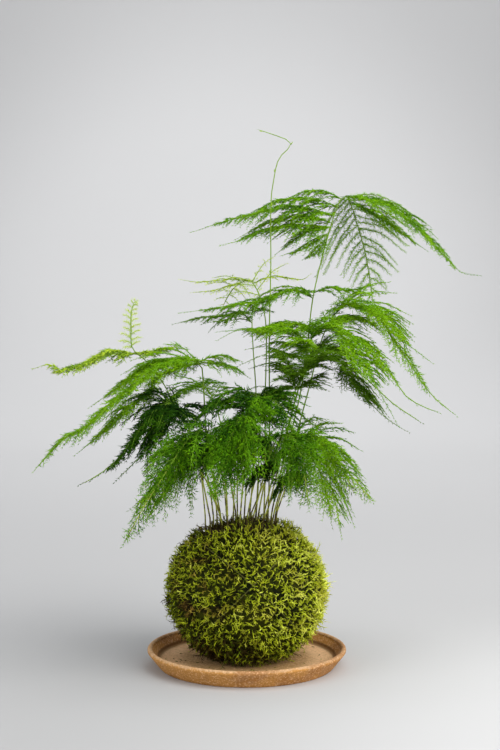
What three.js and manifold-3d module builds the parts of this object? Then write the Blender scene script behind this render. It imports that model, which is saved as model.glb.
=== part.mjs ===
// Kokedama: a fern-like asparagus plant in a soil ball that is wrapped in moss,
// tied with thread and set on a clay saucer.
// Millimetres, +Z up. The origin is the middle of the saucer's flat foot.
import * as THREE from 'three';
import { mergeVertices } from 'three/addons/utils/BufferGeometryUtils.js';
import Module from 'manifold-3d';

const wasm = await Module();
wasm.setup();

// Saucer
const SAUCER_RADIUS = 75;
const SAUCER_HEIGHT = 14;
const SAUCER_FOOT_RADIUS = 66.5;
const SAUCER_FLOOR = 5;
const SAUCER_LIP_RADIUS = 1.9;
const SAUCER_LIP_FROM = -0.4;
const SAUCER_FOOT_CHAMFER = 1;
const SAUCER_CORNER = 2.5;
const SAUCER_WELL_RADIUS = 67;
const SAUCER_SIDES = 36;
const SAUCER_ARC_STEPS = 2;

// Moss ball and soil, each a sphere that is a little flattened
const BALL_RADIUS = 60;
const BALL_HALF_HEIGHT = 57;
const BALL_CENTRE = 57;
const SOIL_RADIUS = 50;
const SOIL_HALF_HEIGHT = 48;
const SOIL_CENTRE = 62;
const SOIL_GRAIN = 0.5;
const SOIL_DETAIL = 3;
const MOSS_DETAIL = 8;
const MOSS_TUFT = 2.4;
const MOSS_SWELL = 0.9;
const SWELL_WAVES = [new THREE.Vector3(5, 0, 2), new THREE.Vector3(0, 4, -3)];
const OPENING_CENTRE = new THREE.Vector2(-4, -1);
const OPENING_HALF = new THREE.Vector2(34, 24);
const OPENING_SIDES = 20;

// Thread wound round the moss, in furrows that it has pulled into the surface
const THREAD_RADIUS = 0.4;
const THREAD_TILT = 46;
const THREAD_TURNS = [20, 170];
const THREAD_SIDES = 3;
const THREAD_STEPS = 24;
const FURROW_DEPTH = 2.4;
const FURROW_FLAT = 4;
const FURROW_EDGE = 8;
const THREAD_RISE = 1;

// Shoots
const STEM_RADIUS = 0.7;
const STEM_TIP_RADIUS = 0.32;
const STEM_SIDES = 4;
const STEM_STEP = 22;
const STEM_BURIED = 9;
const HOLE_SIDES = 5;
const SPRAY_RADIUS = 0.42;
const SPRAY_SIDES = 3;
const SPRAY_THINNING = 0.5;
const SPRAY_SHORTEST = 8;
const STEM_PITCH = 45;
const SPRAY_PITCH = 15;
const WHORL_LENGTH = 1.3;
const WHORL_FROM_TIP = 3.5;
const NEEDLE_LENGTH = 5;
const TWIG_LENGTH = 10;
const TWIG_FULL_FROM = 30;
const TWIG_STEEPEST = 0.8;
const NEEDLE_LEAN = 42;
const NEEDLE_REACH = 0.55;
const LEAFY_POINTS = 10;

// How the side shoots that grow in pairs change along a stem. The real plant's pairs are thinned out
// to PAIRS_SHARE of their number.
const PAIRS_SHARE = 0.36;
const PAIRS_END = 0.97;
const LENGTH_AT_FOOT = 0.65;
const LENGTH_RISE = 3;
const LENGTH_FALL = 0.75;
const LENGTH_VARIES = 0.3;
const SPREAD_CLOSES = 0.25;
const SPREAD_VARIES = 14;
const ARCH = 0.12;

// Seeds of the draws
const DRAW_FACTOR = 16807;
const DRAW_RANGE = 2147483647;
const DRAW_SPREAD = 7919;
const SOIL_SEED = 3;
const MOSS_SEED = 11;

// Room between pieces, the finest step that a surface keeps, and how close two corners count as one
const GAP = 0.3;
const FINEST = 0.05;
const SAME_PLACE = 1e-4;
const BALL_ROOM = 8;
const SAUCER_ROOM = 6;

// Main shoots. Each stem is a list of points that its line passes through, from the soil to the tip.
// Along it, leafFrom is where the needles start, as a share of the list. From there on side shoots
// grow in pairs: reach is the longest one, spread its angle from the stem in degrees, droop how far
// its tip sags as a share of its length, and side the way that it first points. Arms are the long
// side shoots: where each leaves the stem, as a share of the list, and its points.
const FRONDS = [
  {
    name: 'tall_shoot', colour: 'young', leafFrom: 1, pairs: 0,
    stem: [[16, 1, 111], [17, 2, 147], [17, 4, 207], [17, 4, 252], [18, 4, 297], [18, 2, 345], [20, 0, 363],
      [23, 0, 377], [28, 0, 384], [33, 0, 388], [31, -2, 392], [26, -4, 394], [17, -6, 397], [7, -8, 400]],
    arms: [],
  },
  {
    name: 'frond_high', colour: 'bright', leafFrom: 0.66, pairs: 9, reach: 58, spread: 58, droop: 0.18,
    side: [1, 0, 0],
    stem: [[18, 5, 111], [26, 9, 146], [35, 12, 180], [41, 16, 206], [46, 20, 240], [50, 24, 274],
      [57, 28, 305], [64, 32, 330], [70, 36, 348], [75, 40, 354], [80, 46, 349], [85, 52, 335],
      [91, 58, 317], [96, 64, 296], [100, 70, 268]],
    arms: [
      [0.36, [[40, 17, 284], [17, 11, 276], [-14, 0, 270], [-50, -6, 265]]],
      [0.37, [[62, 22, 284], [76, 14, 282], [86, 8, 284], [95, 4, 289]]],
      [0.53, [[40, 22, 345], [12, 14, 341], [-14, 8, 334], [-41, 4, 325]]],
      [0.50, [[40, 20, 331], [11, 12, 326], [-5, 2, 319], [-19, -2, 315]]],
      [0.485, [[44, 20, 314], [27, 12, 308]]],
      [0.475, [[54, 26, 311], [43, 20, 305]]],
      [0.60, [[60, 44, 358], [45, 50, 358], [30, 54, 352]]],
      [0.65, [[88, 34, 352], [100, 28, 349], [116, 20, 339], [134, 12, 322], [148, 6, 307], [160, 2, 295],
        [173, 0, 293]]],
      [0.70, [[99, 46, 340], [118, 40, 326], [138, 36, 312]]],
    ],
  },
  {
    name: 'frond_right_upper', colour: 'bright', leafFrom: 0.42, pairs: 10, reach: 52, spread: 42,
    droop: 0.25, side: [0.3, 1, 0.2],
    stem: [[21, 8, 111], [31, 13, 146], [40, 18, 180], [48, 20, 210], [56, 18, 242], [63, 14, 259],
      [74, 8, 271], [86, 0, 270], [99, -8, 260], [111, -14, 242], [124, -18, 222], [136, -20, 205],
      [154, -22, 190]],
    arms: [
      [0.50, [[95, -10, 266], [114, -20, 246], [135, -30, 229]]],
      [0.36, [[40, 10, 257], [14, 8, 253], [-5, -6, 253], [-22, -12, 245]]],
    ],
  },
  {
    name: 'frond_mid', colour: 'bright', leafFrom: 0.36, pairs: 9, reach: 46, spread: 46, droop: 0.22,
    side: [0.2, 1, 0.1],
    stem: [[12, -2, 111], [19, -4, 140], [28, -6, 170], [36, -8, 200], [42, -10, 223], [46, -10, 242],
      [53, -13, 253], [65, -18, 253], [78, -24, 247], [92, -30, 237], [104, -34, 222], [115, -37, 206],
      [126, -39, 199], [139, -40, 194]],
    arms: [
      [0.38, [[32, -14, 254], [10, -20, 254], [-8, -24, 253], [-21, -28, 252]]],
      [0.55, [[86, -40, 226], [98, -48, 204], [108, -54, 186]]],
    ],
  },
  {
    name: 'frond_centre_right', colour: 'dark', leafFrom: 0.38, pairs: 9, reach: 50, spread: 48,
    droop: 0.2, side: [0.2, 1, 0.1],
    stem: [[8, -6, 111], [14, -10, 141], [24, -15, 171], [32, -20, 198], [39, -23, 216], [48, -28, 230],
      [60, -34, 233], [74, -42, 227], [87, -48, 218], [104, -52, 202], [125, -56, 188]],
    arms: [
      [0.40, [[24, -30, 237], [11, -36, 235], [-6, -42, 228]]],
      [0.66, [[78, -30, 213], [94, -26, 196], [106, -24, 186], [119, -24, 178]]],
    ],
  },
  {
    name: 'frond_pale', colour: 'young', leafFrom: 0.55, pairs: 5, reach: 36, spread: 75, droop: 0.05,
    side: [1, 0, 0],
    stem: [[13, 10, 111], [14, 13, 146], [14, 15, 199], [15, 17, 241], [14, 18, 261], [10, 20, 277],
      [3, 24, 289], [-7, 34, 286], [-14, 44, 278], [-19, 52, 268]],
    arms: [
      [0.64, [[19, 24, 292], [31, 24, 291], [42, 16, 290], [48, 12, 294]]],
      [0.67, [[-14, 26, 290], [-36, 24, 288], [-51, 22, 290]]],
      [0.74, [[-24, 30, 282], [-42, 28, 280]]],
    ],
  },
  {
    name: 'frond_small', colour: 'dark', leafFrom: 0.7, pairs: 3, reach: 14, spread: 60, droop: 0.2,
    side: [0.3, 1, 0],
    stem: [[2, -2, 111], [5, -3, 148], [6, -4, 178], [7, -4, 205], [5, -2, 236], [4, 0, 258],
      [5, 2, 266], [10, 7, 268], [19, 14, 266]],
    arms: [
      [0.70, [[-5, -4, 266], [-17, -8, 263], [-34, -12, 262], [-54, -14, 257]]],
      [0.62, [[-3, -8, 265], [-13, -16, 261], [-30, -20, 258]]],
    ],
  },
  {
    name: 'frond_left_tip', colour: 'young', leafFrom: 0.66, pairs: 7, reach: 9, spread: 75, droop: -0.1,
    side: [1, 0, 0],
    stem: [[-25, 6, 111], [-29, 6, 139], [-37, 6, 162], [-47, 8, 181], [-57, 10, 201], [-64, 10, 214],
      [-71, 12, 223], [-77, 12, 230], [-84, 12, 235], [-87, 12, 241], [-87, 12, 252], [-87, 12, 263],
      [-85, 12, 272], [-82, 12, 274]],
    arms: [
      [0.60, [[-99, 8, 236], [-116, 4, 229], [-131, 0, 224], [-138, -2, 222], [-142, -3, 225],
        [-148, -4, 227], [-158, -6, 224]]],
      [0.61, [[-73, 6, 236], [-61, 4, 239], [-50, 2, 240]]],
      [0.50, [[-81, 24, 220], [-99, 34, 210]]],
    ],
  },
  {
    name: 'frond_left_arch', colour: 'bright', leafFrom: 0.36, pairs: 11, reach: 44, spread: 46,
    droop: 0.2, side: [0.2, 1, 0.1],
    stem: [[-19, 0, 111], [-24, -3, 137], [-29, -6, 163], [-31, -8, 192], [-32, -9, 212],
      [-34, -12, 228], [-44, -18, 232], [-59, -26, 228], [-73, -34, 219], [-88, -40, 208],
      [-103, -46, 196], [-115, -50, 185], [-128, -54, 178], [-138, -57, 169], [-151, -60, 154]],
    arms: [
      [0.40, [[-61, 2, 229], [-76, 4, 222], [-95, 4, 210], [-118, 4, 194]]],
      [0.37, [[-23, -12, 234], [-14, -16, 233], [-4, -20, 230]]],
      [0.54, [[-71, -20, 208], [-85, -26, 196], [-98, -30, 184], [-124, -36, 163]]],
    ],
  },
  {
    name: 'frond_left_dark', colour: 'dark', leafFrom: 0.36, pairs: 9, reach: 40, spread: 48,
    droop: 0.25, side: [0.2, 1, 0.1],
    stem: [[-27, -8, 111], [-32, -12, 138], [-37, -18, 165], [-43, -22, 183], [-50, -28, 196],
      [-58, -34, 200], [-68, -42, 193], [-78, -48, 180], [-90, -52, 164], [-104, -56, 152],
      [-119, -60, 144]],
    arms: [
      [0.42, [[-56, -50, 186], [-71, -58, 169], [-82, -62, 158], [-93, -66, 147]]],
      [0.48, [[-71, -20, 172], [-73, -18, 153], [-73, -18, 141]]],
    ],
  },
  {
    name: 'frond_front_left', colour: 'bright', leafFrom: 0.36, pairs: 9, reach: 44, spread: 50,
    droop: 0.15, side: [0.8, 0.5, 0.3],
    stem: [[-14, -14, 111], [-15, -22, 135], [-18, -34, 159], [-23, -44, 177], [-30, -52, 184],
      [-40, -60, 179], [-50, -66, 165], [-61, -70, 148], [-73, -73, 129], [-87, -76, 103]],
    arms: [
      [0.55, [[-59, -40, 153], [-71, -36, 136], [-86, -34, 122]]],
    ],
  },
  {
    name: 'frond_front_centre', colour: 'bright', leafFrom: 0.36, pairs: 8, reach: 36, spread: 50,
    droop: 0.2, side: [0.9, 0.3, 0.2],
    stem: [[-5, -16, 111], [-3, -26, 136], [0, -38, 163], [1, -50, 184], [-2, -60, 194],
      [-7, -68, 189], [-13, -74, 174], [-18, -78, 156], [-23, -80, 138]],
    arms: [
      [0.42, [[4, -70, 178], [0, -78, 157], [-10, -84, 145]]],
    ],
  },
  {
    name: 'frond_front_right', colour: 'bright', leafFrom: 0.36, pairs: 8, reach: 40, spread: 52,
    droop: 0.2, side: [0.9, -0.3, 0.2],
    stem: [[4, -14, 111], [10, -22, 135], [16, -34, 160], [22, -46, 176], [29, -56, 180],
      [36, -64, 174], [40, -70, 158], [44, -72, 128]],
    arms: [],
  },
  {
    name: 'frond_right_low', colour: 'bright', leafFrom: 0.36, pairs: 9, reach: 44, spread: 48,
    droop: 0.2, side: [0.4, 1, 0.3],
    stem: [[19, -6, 111], [25, -9, 133], [33, -12, 156], [40, -14, 171], [48, -17, 175],
      [58, -22, 168], [68, -28, 157], [80, -32, 143], [92, -36, 128]],
    arms: [
      [0.45, [[49, -6, 173], [63, 0, 168], [71, 2, 166]]],
      [0.55, [[60, -40, 169], [71, -44, 162], [82, -46, 150]]],
      [0.62, [[62, -34, 137], [66, -38, 121], [69, -40, 103]]],
      [0.50, [[55, -30, 145], [60, -33, 126], [62, -36, 110]]],
    ],
  },
  {
    name: 'frond_right_back', colour: 'dark', leafFrom: 0.36, pairs: 7, reach: 36, spread: 52,
    droop: 0.2, side: [0.5, 1, 0.2],
    stem: [[22, 12, 111], [32, 22, 137], [41, 32, 155], [51, 41, 161], [64, 50, 155], [76, 58, 140],
      [86, 62, 120]],
    arms: [],
  },
  {
    name: 'frond_centre_top', colour: 'bright', leafFrom: 0.4, pairs: 8, reach: 42, spread: 55,
    droop: 0.2, side: [0.8, 0.5, 0.3],
    stem: [[-2, -6, 111], [0, -10, 141], [2, -14, 171], [5, -20, 194], [11, -27, 203],
      [18, -38, 203], [27, -48, 196], [34, -56, 185]],
    arms: [
      [0.42, [[-6, -20, 204], [-23, -26, 199], [-37, -30, 188], [-50, -34, 178]]],
    ],
  },
  {
    name: 'frond_back_centre', colour: 'dark', leafFrom: 0.42, pairs: 7, reach: 40, spread: 58,
    droop: 0.2, side: [1, 0, 0],
    stem: [[7, 14, 111], [9, 24, 144], [10, 40, 174], [12, 56, 192], [11, 74, 199], [8, 92, 194],
      [5, 106, 182]],
    arms: [],
  },
  {
    name: 'frond_back_left', colour: 'bright', leafFrom: 0.42, pairs: 8, reach: 40, spread: 52,
    droop: 0.2, side: [0.5, 0.8, 0.1],
    stem: [[-8, 14, 111], [-14, 24, 144], [-19, 36, 174], [-26, 50, 196], [-34, 64, 206],
      [-45, 78, 203], [-57, 90, 195], [-69, 100, 181]],
    arms: [],
  },
  {
    name: 'frond_back_right', colour: 'bright', leafFrom: 0.46, pairs: 8, reach: 40, spread: 52,
    droop: 0.2, side: [-0.3, 0.9, 0.1],
    stem: [[15, 15, 111], [24, 26, 144], [33, 38, 178], [41, 51, 208], [48, 66, 228], [60, 80, 235],
      [75, 92, 232], [91, 102, 220]],
    arms: [],
  },
  {
    name: 'frond_left_low', colour: 'bright', leafFrom: 0.36, pairs: 7, reach: 30, spread: 52,
    droop: 0.2, side: [0.3, 1, 0.3],
    stem: [[-18, -12, 111], [-24, -19, 130], [-31, -27, 146], [-39, -33, 155], [-48, -38, 152],
      [-56, -42, 141], [-65, -46, 129], [-72, -48, 117]],
    arms: [],
  },
  {
    name: 'frond_back_low_left', colour: 'dark', leafFrom: 0.4, pairs: 7, reach: 34, spread: 54,
    droop: 0.2, side: [0.6, 0.6, 0.2],
    stem: [[-20, 12, 111], [-31, 24, 136], [-42, 38, 152], [-55, 52, 158], [-69, 64, 150],
      [-82, 74, 134]],
    arms: [],
  },
  {
    name: 'frond_back_low_right', colour: 'bright', leafFrom: 0.4, pairs: 7, reach: 34, spread: 54,
    droop: 0.2, side: [0.9, -0.4, 0.2],
    stem: [[3, 18, 111], [14, 34, 134], [24, 52, 148], [34, 70, 152], [42, 86, 144], [49, 100, 128]],
    arms: [],
  },
];

// Short inner shoots that fill the middle of the plant
const INNER_SHOOTS = [
  [[-31, 2, 111], [-34, 6, 139], [-38, 11, 158], [-45, 17, 168]],
  [[-22, -4, 111], [-24, -11, 141], [-25, -20, 165], [-30, -28, 173]],
  [[-10, -8, 111], [-9, -13, 142], [-8, -20, 163], [-12, -30, 172]],
  [[-7, 6, 111], [-7, 14, 146], [-4, 24, 175], [1, 34, 186]],
  [[0, -12, 111], [4, -19, 133], [9, -27, 150], [15, -35, 157]],
  [[7, 4, 111], [9, 8, 139], [9, 16, 161], [11, 26, 170]],
  [[12, -12, 111], [20, -18, 131], [28, -25, 145], [36, -32, 149]],
  [[-15, 7, 111], [-18, 16, 138], [-24, 27, 156], [-31, 38, 162]],
];
const INNER_SHOOT = {
  colour: 'dark', leafFrom: 0.5, pairs: 4, reach: 26, spread: 55, droop: 0.2, side: [0.7, 0.7, 0.2],
  arms: [],
};
const SHOOTS = FRONDS.concat(
  INNER_SHOOTS.map((stem, i) => ({ ...INNER_SHOOT, name: `inner_shoot_${i + 1}`, stem })),
);

// Ways in which a side shoot is bent when its own line would meet another piece
const BENDS = [[0, 0, 0]];
for (const step of [3, 6, 9, 12]) {
  BENDS.push([0, 0, step], [0, step, 0], [0, -step, 0], [0, 0, -step], [step, 0, 0], [-step, 0, 0]);
}
const SHORTENINGS = [1, 0.75, 0.5];

const FINISHES = {
  clay: { color: '#c2906a', roughness: 0.9 },
  soil: { color: '#3b2c20', roughness: 1 },
  moss: { color: '#7c8a22', roughness: 1 },
  thread: { color: '#6f6a44', roughness: 0.8 },
  bright: { color: '#4d9428', roughness: 0.6 },
  dark: { color: '#2d6a1c', roughness: 0.6 },
  young: { color: '#8fae3f', roughness: 0.6 },
};

// A seeded draw between 0 and 1, the same on each run
function makeDraw(seed) {
  let state = (seed * DRAW_SPREAD) % DRAW_RANGE;
  return () => {
    state = (state * DRAW_FACTOR) % DRAW_RANGE;
    return state / DRAW_RANGE;
  };
}

// A closed geometry as a solid that can be joined and cut
function toSolid(geometry) {
  const bare = new THREE.BufferGeometry();
  bare.setAttribute('position', geometry.getAttribute('position'));
  if (geometry.index) bare.setIndex(geometry.index);
  const merged = mergeVertices(bare, SAME_PLACE);
  const corners = merged.index.array;
  const kept = [];
  for (let i = 0; i < corners.length; i += 3) {
    const [a, b, c] = corners.slice(i, i + 3);
    if (a !== b && b !== c && c !== a) kept.push(a, b, c);
  }
  return new wasm.Manifold(new wasm.Mesh({
    numProp: 3,
    vertProperties: merged.attributes.position.array,
    triVerts: new Uint32Array(kept),
  }));
}

function fromSolid(solid) {
  const mesh = solid.asOriginal().simplify(FINEST).getMesh();
  const geometry = new THREE.BufferGeometry();
  geometry.setAttribute('position', new THREE.BufferAttribute(mesh.vertProperties, 3));
  geometry.setIndex(new THREE.BufferAttribute(mesh.triVerts, 1));
  geometry.computeVertexNormals();
  return geometry;
}

function makeMesh(name, geometry, finish) {
  const material = new THREE.MeshStandardMaterial({ ...FINISHES[finish], metalness: 0, flatShading: true });
  const mesh = new THREE.Mesh(geometry, material);
  mesh.name = name;
  return mesh;
}

// A shallow turned dish: flat foot, flared wall, rolled lip and a rounded corner inside
function makeSaucer() {
  const lipX = SAUCER_RADIUS - SAUCER_LIP_RADIUS;
  const lipZ = SAUCER_HEIGHT - SAUCER_LIP_RADIUS;
  const profile = new THREE.Path();
  profile.moveTo(0, 0);
  profile.lineTo(SAUCER_FOOT_RADIUS - SAUCER_FOOT_CHAMFER, 0);
  profile.lineTo(SAUCER_FOOT_RADIUS, SAUCER_FOOT_CHAMFER);
  profile.absarc(lipX, lipZ, SAUCER_LIP_RADIUS, SAUCER_LIP_FROM, Math.PI, false);
  profile.lineTo(SAUCER_WELL_RADIUS, SAUCER_FLOOR + SAUCER_CORNER);
  profile.quadraticCurveTo(
    SAUCER_WELL_RADIUS, SAUCER_FLOOR, SAUCER_WELL_RADIUS - SAUCER_CORNER, SAUCER_FLOOR,
  );
  profile.lineTo(0, SAUCER_FLOOR);
  const geometry = new THREE.LatheGeometry(profile.getPoints(SAUCER_ARC_STEPS), SAUCER_SIDES);
  geometry.rotateX(Math.PI / 2);
  return makeMesh('saucer', fromSolid(toSolid(geometry)), 'clay');
}

function stretchToBall(geometry, radius, halfHeight, centre) {
  return geometry.scale(radius, radius, halfHeight).translate(0, 0, centre);
}

// The height of the soil's surface over a point of the plan
function soilTop(x, y) {
  return SOIL_CENTRE + SOIL_HALF_HEIGHT * Math.sqrt(1 - (x * x + y * y) / SOIL_RADIUS ** 2);
}

// The soil ball, with a plain hole for each stem
function makeSoil() {
  const draw = makeDraw(SOIL_SEED);
  const ball = mergeVertices(bareBall(SOIL_DETAIL));
  moveRadially(ball, () => 1 - (SOIL_GRAIN / SOIL_RADIUS) * draw());
  let soil = toSolid(stretchToBall(ball, SOIL_RADIUS, SOIL_HALF_HEIGHT, SOIL_CENTRE));
  for (const { stem } of SHOOTS) {
    const [x, y] = stem[0];
    const floor = soilTop(x, y) - STEM_BURIED - GAP;
    const height = SOIL_CENTRE + SOIL_HALF_HEIGHT + STEM_BURIED - floor;
    const radius = (STEM_RADIUS + GAP) / Math.cos(Math.PI / HOLE_SIDES);
    const hole = new THREE.CylinderGeometry(radius, radius, height, HOLE_SIDES);
    hole.rotateX(Math.PI / 2).translate(x, y, floor + height / 2);
    soil = soil.subtract(toSolid(hole));
  }
  return makeMesh('soil_core', fromSolid(soil), 'soil');
}

function bareBall(detail) {
  const ball = new THREE.IcosahedronGeometry(1, detail);
  ball.deleteAttribute('normal');
  ball.deleteAttribute('uv');
  return ball;
}

// Each corner of a round body is moved out or in by a factor of its direction
function moveRadially(geometry, factor) {
  const places = geometry.getAttribute('position');
  const corner = new THREE.Vector3();
  for (let i = 0; i < places.count; i++) {
    corner.fromBufferAttribute(places, i).normalize();
    corner.multiplyScalar(factor(corner.clone()));
    places.setXYZ(i, corner.x, corner.y, corner.z);
  }
}

// The plane of one turn of the thread, by its upward normal
function threadNormal(turn) {
  const tilt = THREE.MathUtils.degToRad(THREAD_TILT);
  const around = THREE.MathUtils.degToRad(turn);
  return new THREE.Vector3(
    Math.sin(tilt) * Math.cos(around), Math.sin(tilt) * Math.sin(around), Math.cos(tilt),
  );
}

// How deep the thread has pulled the moss in, in a direction from the ball's middle
function furrow(direction) {
  const nearest = Math.min(
    ...THREAD_TURNS.map((turn) => Math.abs(direction.dot(threadNormal(turn))) * BALL_RADIUS),
  );
  return 1 - THREE.MathUtils.smoothstep(nearest, FURROW_FLAT, FURROW_EDGE);
}

// The moss skin: tufts as relief, furrows under the thread, open round the stems, flat where it sits
function makeMoss() {
  const draw = makeDraw(MOSS_SEED);
  const skin = mergeVertices(bareBall(MOSS_DETAIL));
  moveRadially(skin, (d) => {
    const swell = MOSS_SWELL * Math.sin(d.dot(SWELL_WAVES[0])) * Math.cos(d.dot(SWELL_WAVES[1]));
    const tuft = MOSS_TUFT * (2 * draw() - 1);
    const pulled = furrow(d);
    const height = (swell + tuft) * (1 - pulled) - FURROW_DEPTH * pulled;
    return 1 + height / BALL_RADIUS;
  });
  const outer = toSolid(stretchToBall(skin, BALL_RADIUS, BALL_HALF_HEIGHT, BALL_CENTRE));
  const hollow = toSolid(
    stretchToBall(bareBall(SOIL_DETAIL), SOIL_RADIUS + 2 * GAP, SOIL_HALF_HEIGHT + 2 * GAP, SOIL_CENTRE),
  );
  const opening = new THREE.CylinderGeometry(1, 1, BALL_RADIUS, OPENING_SIDES).rotateX(Math.PI / 2);
  opening.scale(OPENING_HALF.x, OPENING_HALF.y, 1);
  opening.translate(OPENING_CENTRE.x, OPENING_CENTRE.y, SOIL_CENTRE + BALL_RADIUS);
  const seat = SAUCER_FLOOR + GAP;
  const below = new THREE.BoxGeometry(2 * BALL_RADIUS, 2 * BALL_RADIUS, BALL_RADIUS);
  below.translate(0, 0, seat - BALL_RADIUS / 2);
  const moss = outer.subtract(hollow).subtract(toSolid(opening)).subtract(toSolid(below));
  return makeMesh('moss_cover', fromSolid(moss), 'moss');
}

// Turns of thread round the ball, knotted together where they cross
function makeThread() {
  const innermost = BALL_RADIUS - FURROW_DEPTH + THREAD_RISE + THREAD_RADIUS;
  const onBall = innermost / Math.cos(Math.PI / THREAD_STEPS);
  const up = new THREE.Vector3(0, 0, 1);
  const loops = THREAD_TURNS.map((turn) => {
    const loop = new THREE.TorusGeometry(onBall, THREAD_RADIUS, THREAD_SIDES, THREAD_STEPS);
    loop.applyQuaternion(new THREE.Quaternion().setFromUnitVectors(up, threadNormal(turn)));
    loop.scale(1, 1, BALL_HALF_HEIGHT / BALL_RADIUS).translate(0, 0, BALL_CENTRE);
    return toSolid(loop);
  });
  return makeMesh('binding_thread', fromSolid(joinSolids(loops)), 'thread');
}

function joinSolids(solids) {
  return solids.reduce((whole, piece) => whole.add(piece));
}

// Every straight stretch of stem, spray and needle so far, with its half thickness and its node
const laid = [];

function makeStretch(node, start, end, reach) {
  const box = new THREE.Box3().setFromPoints([start, end]).expandByScalar(reach + GAP / 2);
  return { node, line: new THREE.Line3(start, end), reach, box };
}

function clearOfOthers(stretch) {
  return laid.every((other) => {
    if (other.node === stretch.node || !other.box.intersectsBox(stretch.box)) return true;
    const room = other.reach + stretch.reach + GAP;
    return other.line.distanceSqToLine3(stretch.line) > room * room;
  });
}

function clearOfBall({ line }) {
  return [line.start, line.end].every(({ x, y, z }) => {
    const out = Math.hypot(x, y);
    const level = out / (BALL_RADIUS + BALL_ROOM);
    const upright = (z - BALL_CENTRE) / (BALL_HALF_HEIGHT + BALL_ROOM);
    const overBall = level * level + upright * upright > 1;
    return overBall && (z > SAUCER_HEIGHT + SAUCER_ROOM || out > SAUCER_RADIUS + SAUCER_ROOM);
  });
}

// Rings of corners round a line, closed by a cap at the root and a point at the tip. From a ring
// that bears twigs, each side up to the next ring is drawn out to a point: the level sides to a
// twig of the ring's own length, the others to a needle.
class Shoot {
  constructor(node, sides, rings, tip) {
    this.node = node;
    this.sides = sides;
    this.rings = rings;
    this.tip = tip;
    this.placeCorners();
    this.core = rings.map((ring, i) => makeStretch(node, ring.centre, this.centreAfter(i), ring.radius));
    this.needles = rings.flatMap((ring, i) => (ring.twig ? this.makeNeedles(i) : []));
  }

  centreAfter(i) {
    return i + 1 < this.rings.length ? this.rings[i + 1].centre : this.tip;
  }

  placeCorners() {
    const first = this.centreAfter(0).clone().sub(this.rings[0].centre);
    const steep = Math.abs(first.z) > Math.hypot(first.x, first.y);
    const outward = steep ? new THREE.Vector3(1, 0, 0) : new THREE.Vector3(0, 0, 1);
    this.rings.forEach((ring, i) => {
      const before = i > 0 ? this.rings[i - 1].centre : ring.centre;
      ring.along = this.centreAfter(i).clone().sub(before).normalize();
      outward.addScaledVector(ring.along, -outward.dot(ring.along)).normalize();
      const across = ring.along.clone().cross(outward);
      ring.corners = Array.from({ length: this.sides }, (_, k) => {
        const angle = ring.turn + (k * 2 * Math.PI) / this.sides;
        return ring.centre.clone()
          .addScaledVector(outward, ring.radius * Math.cos(angle))
          .addScaledVector(across, ring.radius * Math.sin(angle));
      });
    });
  }

  // The four corners of one side between a ring and the next
  sideCorners(i, k) {
    const next = (k + 1) % this.sides;
    const upper = this.rings[i + 1].corners;
    return [this.rings[i].corners[k], this.rings[i].corners[next], upper[next], upper[k]];
  }

  makeNeedles(i) {
    const lean = THREE.MathUtils.degToRad(NEEDLE_LEAN);
    const middle = this.rings[i].centre.clone().lerp(this.centreAfter(i), 0.5);
    return Array.from({ length: this.sides }, (_, side) => {
      const root = new THREE.Vector3();
      this.sideCorners(i, side).forEach((corner) => root.addScaledVector(corner, 0.25));
      const out = root.clone().sub(middle).normalize();
      const length = Math.abs(out.z) < TWIG_STEEPEST ? this.rings[i].twig : NEEDLE_LENGTH;
      const way = out.multiplyScalar(Math.cos(lean)).addScaledVector(this.rings[i].along, Math.sin(lean));
      const point = root.clone().addScaledVector(way, length);
      return { ring: i, side, point, stretch: makeStretch(this.node, root, point, NEEDLE_REACH) };
    });
  }

  coreIsClear() {
    return this.core.every(clearOfOthers);
  }

  // Needles that would meet another node are left out, and the rest take their place
  lay() {
    laid.push(...this.core);
    this.needles = this.needles.filter(({ stretch }) => clearOfBall(stretch) && clearOfOthers(stretch));
    laid.push(...this.needles.map(({ stretch }) => stretch));
  }

  solid() {
    const places = [];
    const corners = [];
    const add = (point) => places.push(point.x, point.y, point.z) / 3 - 1;
    const face = (...indices) => corners.push(...indices);
    this.rings.forEach((ring) => ring.corners.forEach(add));
    for (let k = 1; k + 1 < this.sides; k++) face(0, k + 1, k);
    for (let i = 0; i + 1 < this.rings.length; i++) {
      for (let k = 0; k < this.sides; k++) {
        const a = i * this.sides + k;
        const b = i * this.sides + ((k + 1) % this.sides);
        const ring = [a, b, b + this.sides, a + this.sides];
        const needle = this.needles.find((n) => n.ring === i && n.side === k);
        if (needle) {
          const point = add(needle.point);
          ring.forEach((corner, n) => face(corner, ring[(n + 1) % 4], point));
        } else {
          face(ring[0], ring[1], ring[3]);
          face(ring[1], ring[2], ring[3]);
        }
      }
    }
    const last = (this.rings.length - 1) * this.sides;
    const point = add(this.tip);
    for (let k = 0; k < this.sides; k++) face(last + k, last + ((k + 1) % this.sides), point);
    const geometry = new THREE.BufferGeometry();
    geometry.setAttribute('position', new THREE.Float32BufferAttribute(places, 3));
    geometry.setIndex(corners);
    return toSolid(geometry);
  }
}

function curveThrough(points) {
  return new THREE.CatmullRomCurve3(points, false, 'catmullrom', 0.5);
}

function toPoints(list) {
  return list.map((place) => new THREE.Vector3(...place));
}

// The leafy end of a stem's curve
function leafyCurve({ curve, leafFrom }) {
  return curveThrough(Array.from({ length: LEAFY_POINTS }, (_, i) => (
    curve.getPoint(THREE.MathUtils.lerp(leafFrom, 1, i / (LEAFY_POINTS - 1)))
  )));
}

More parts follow.
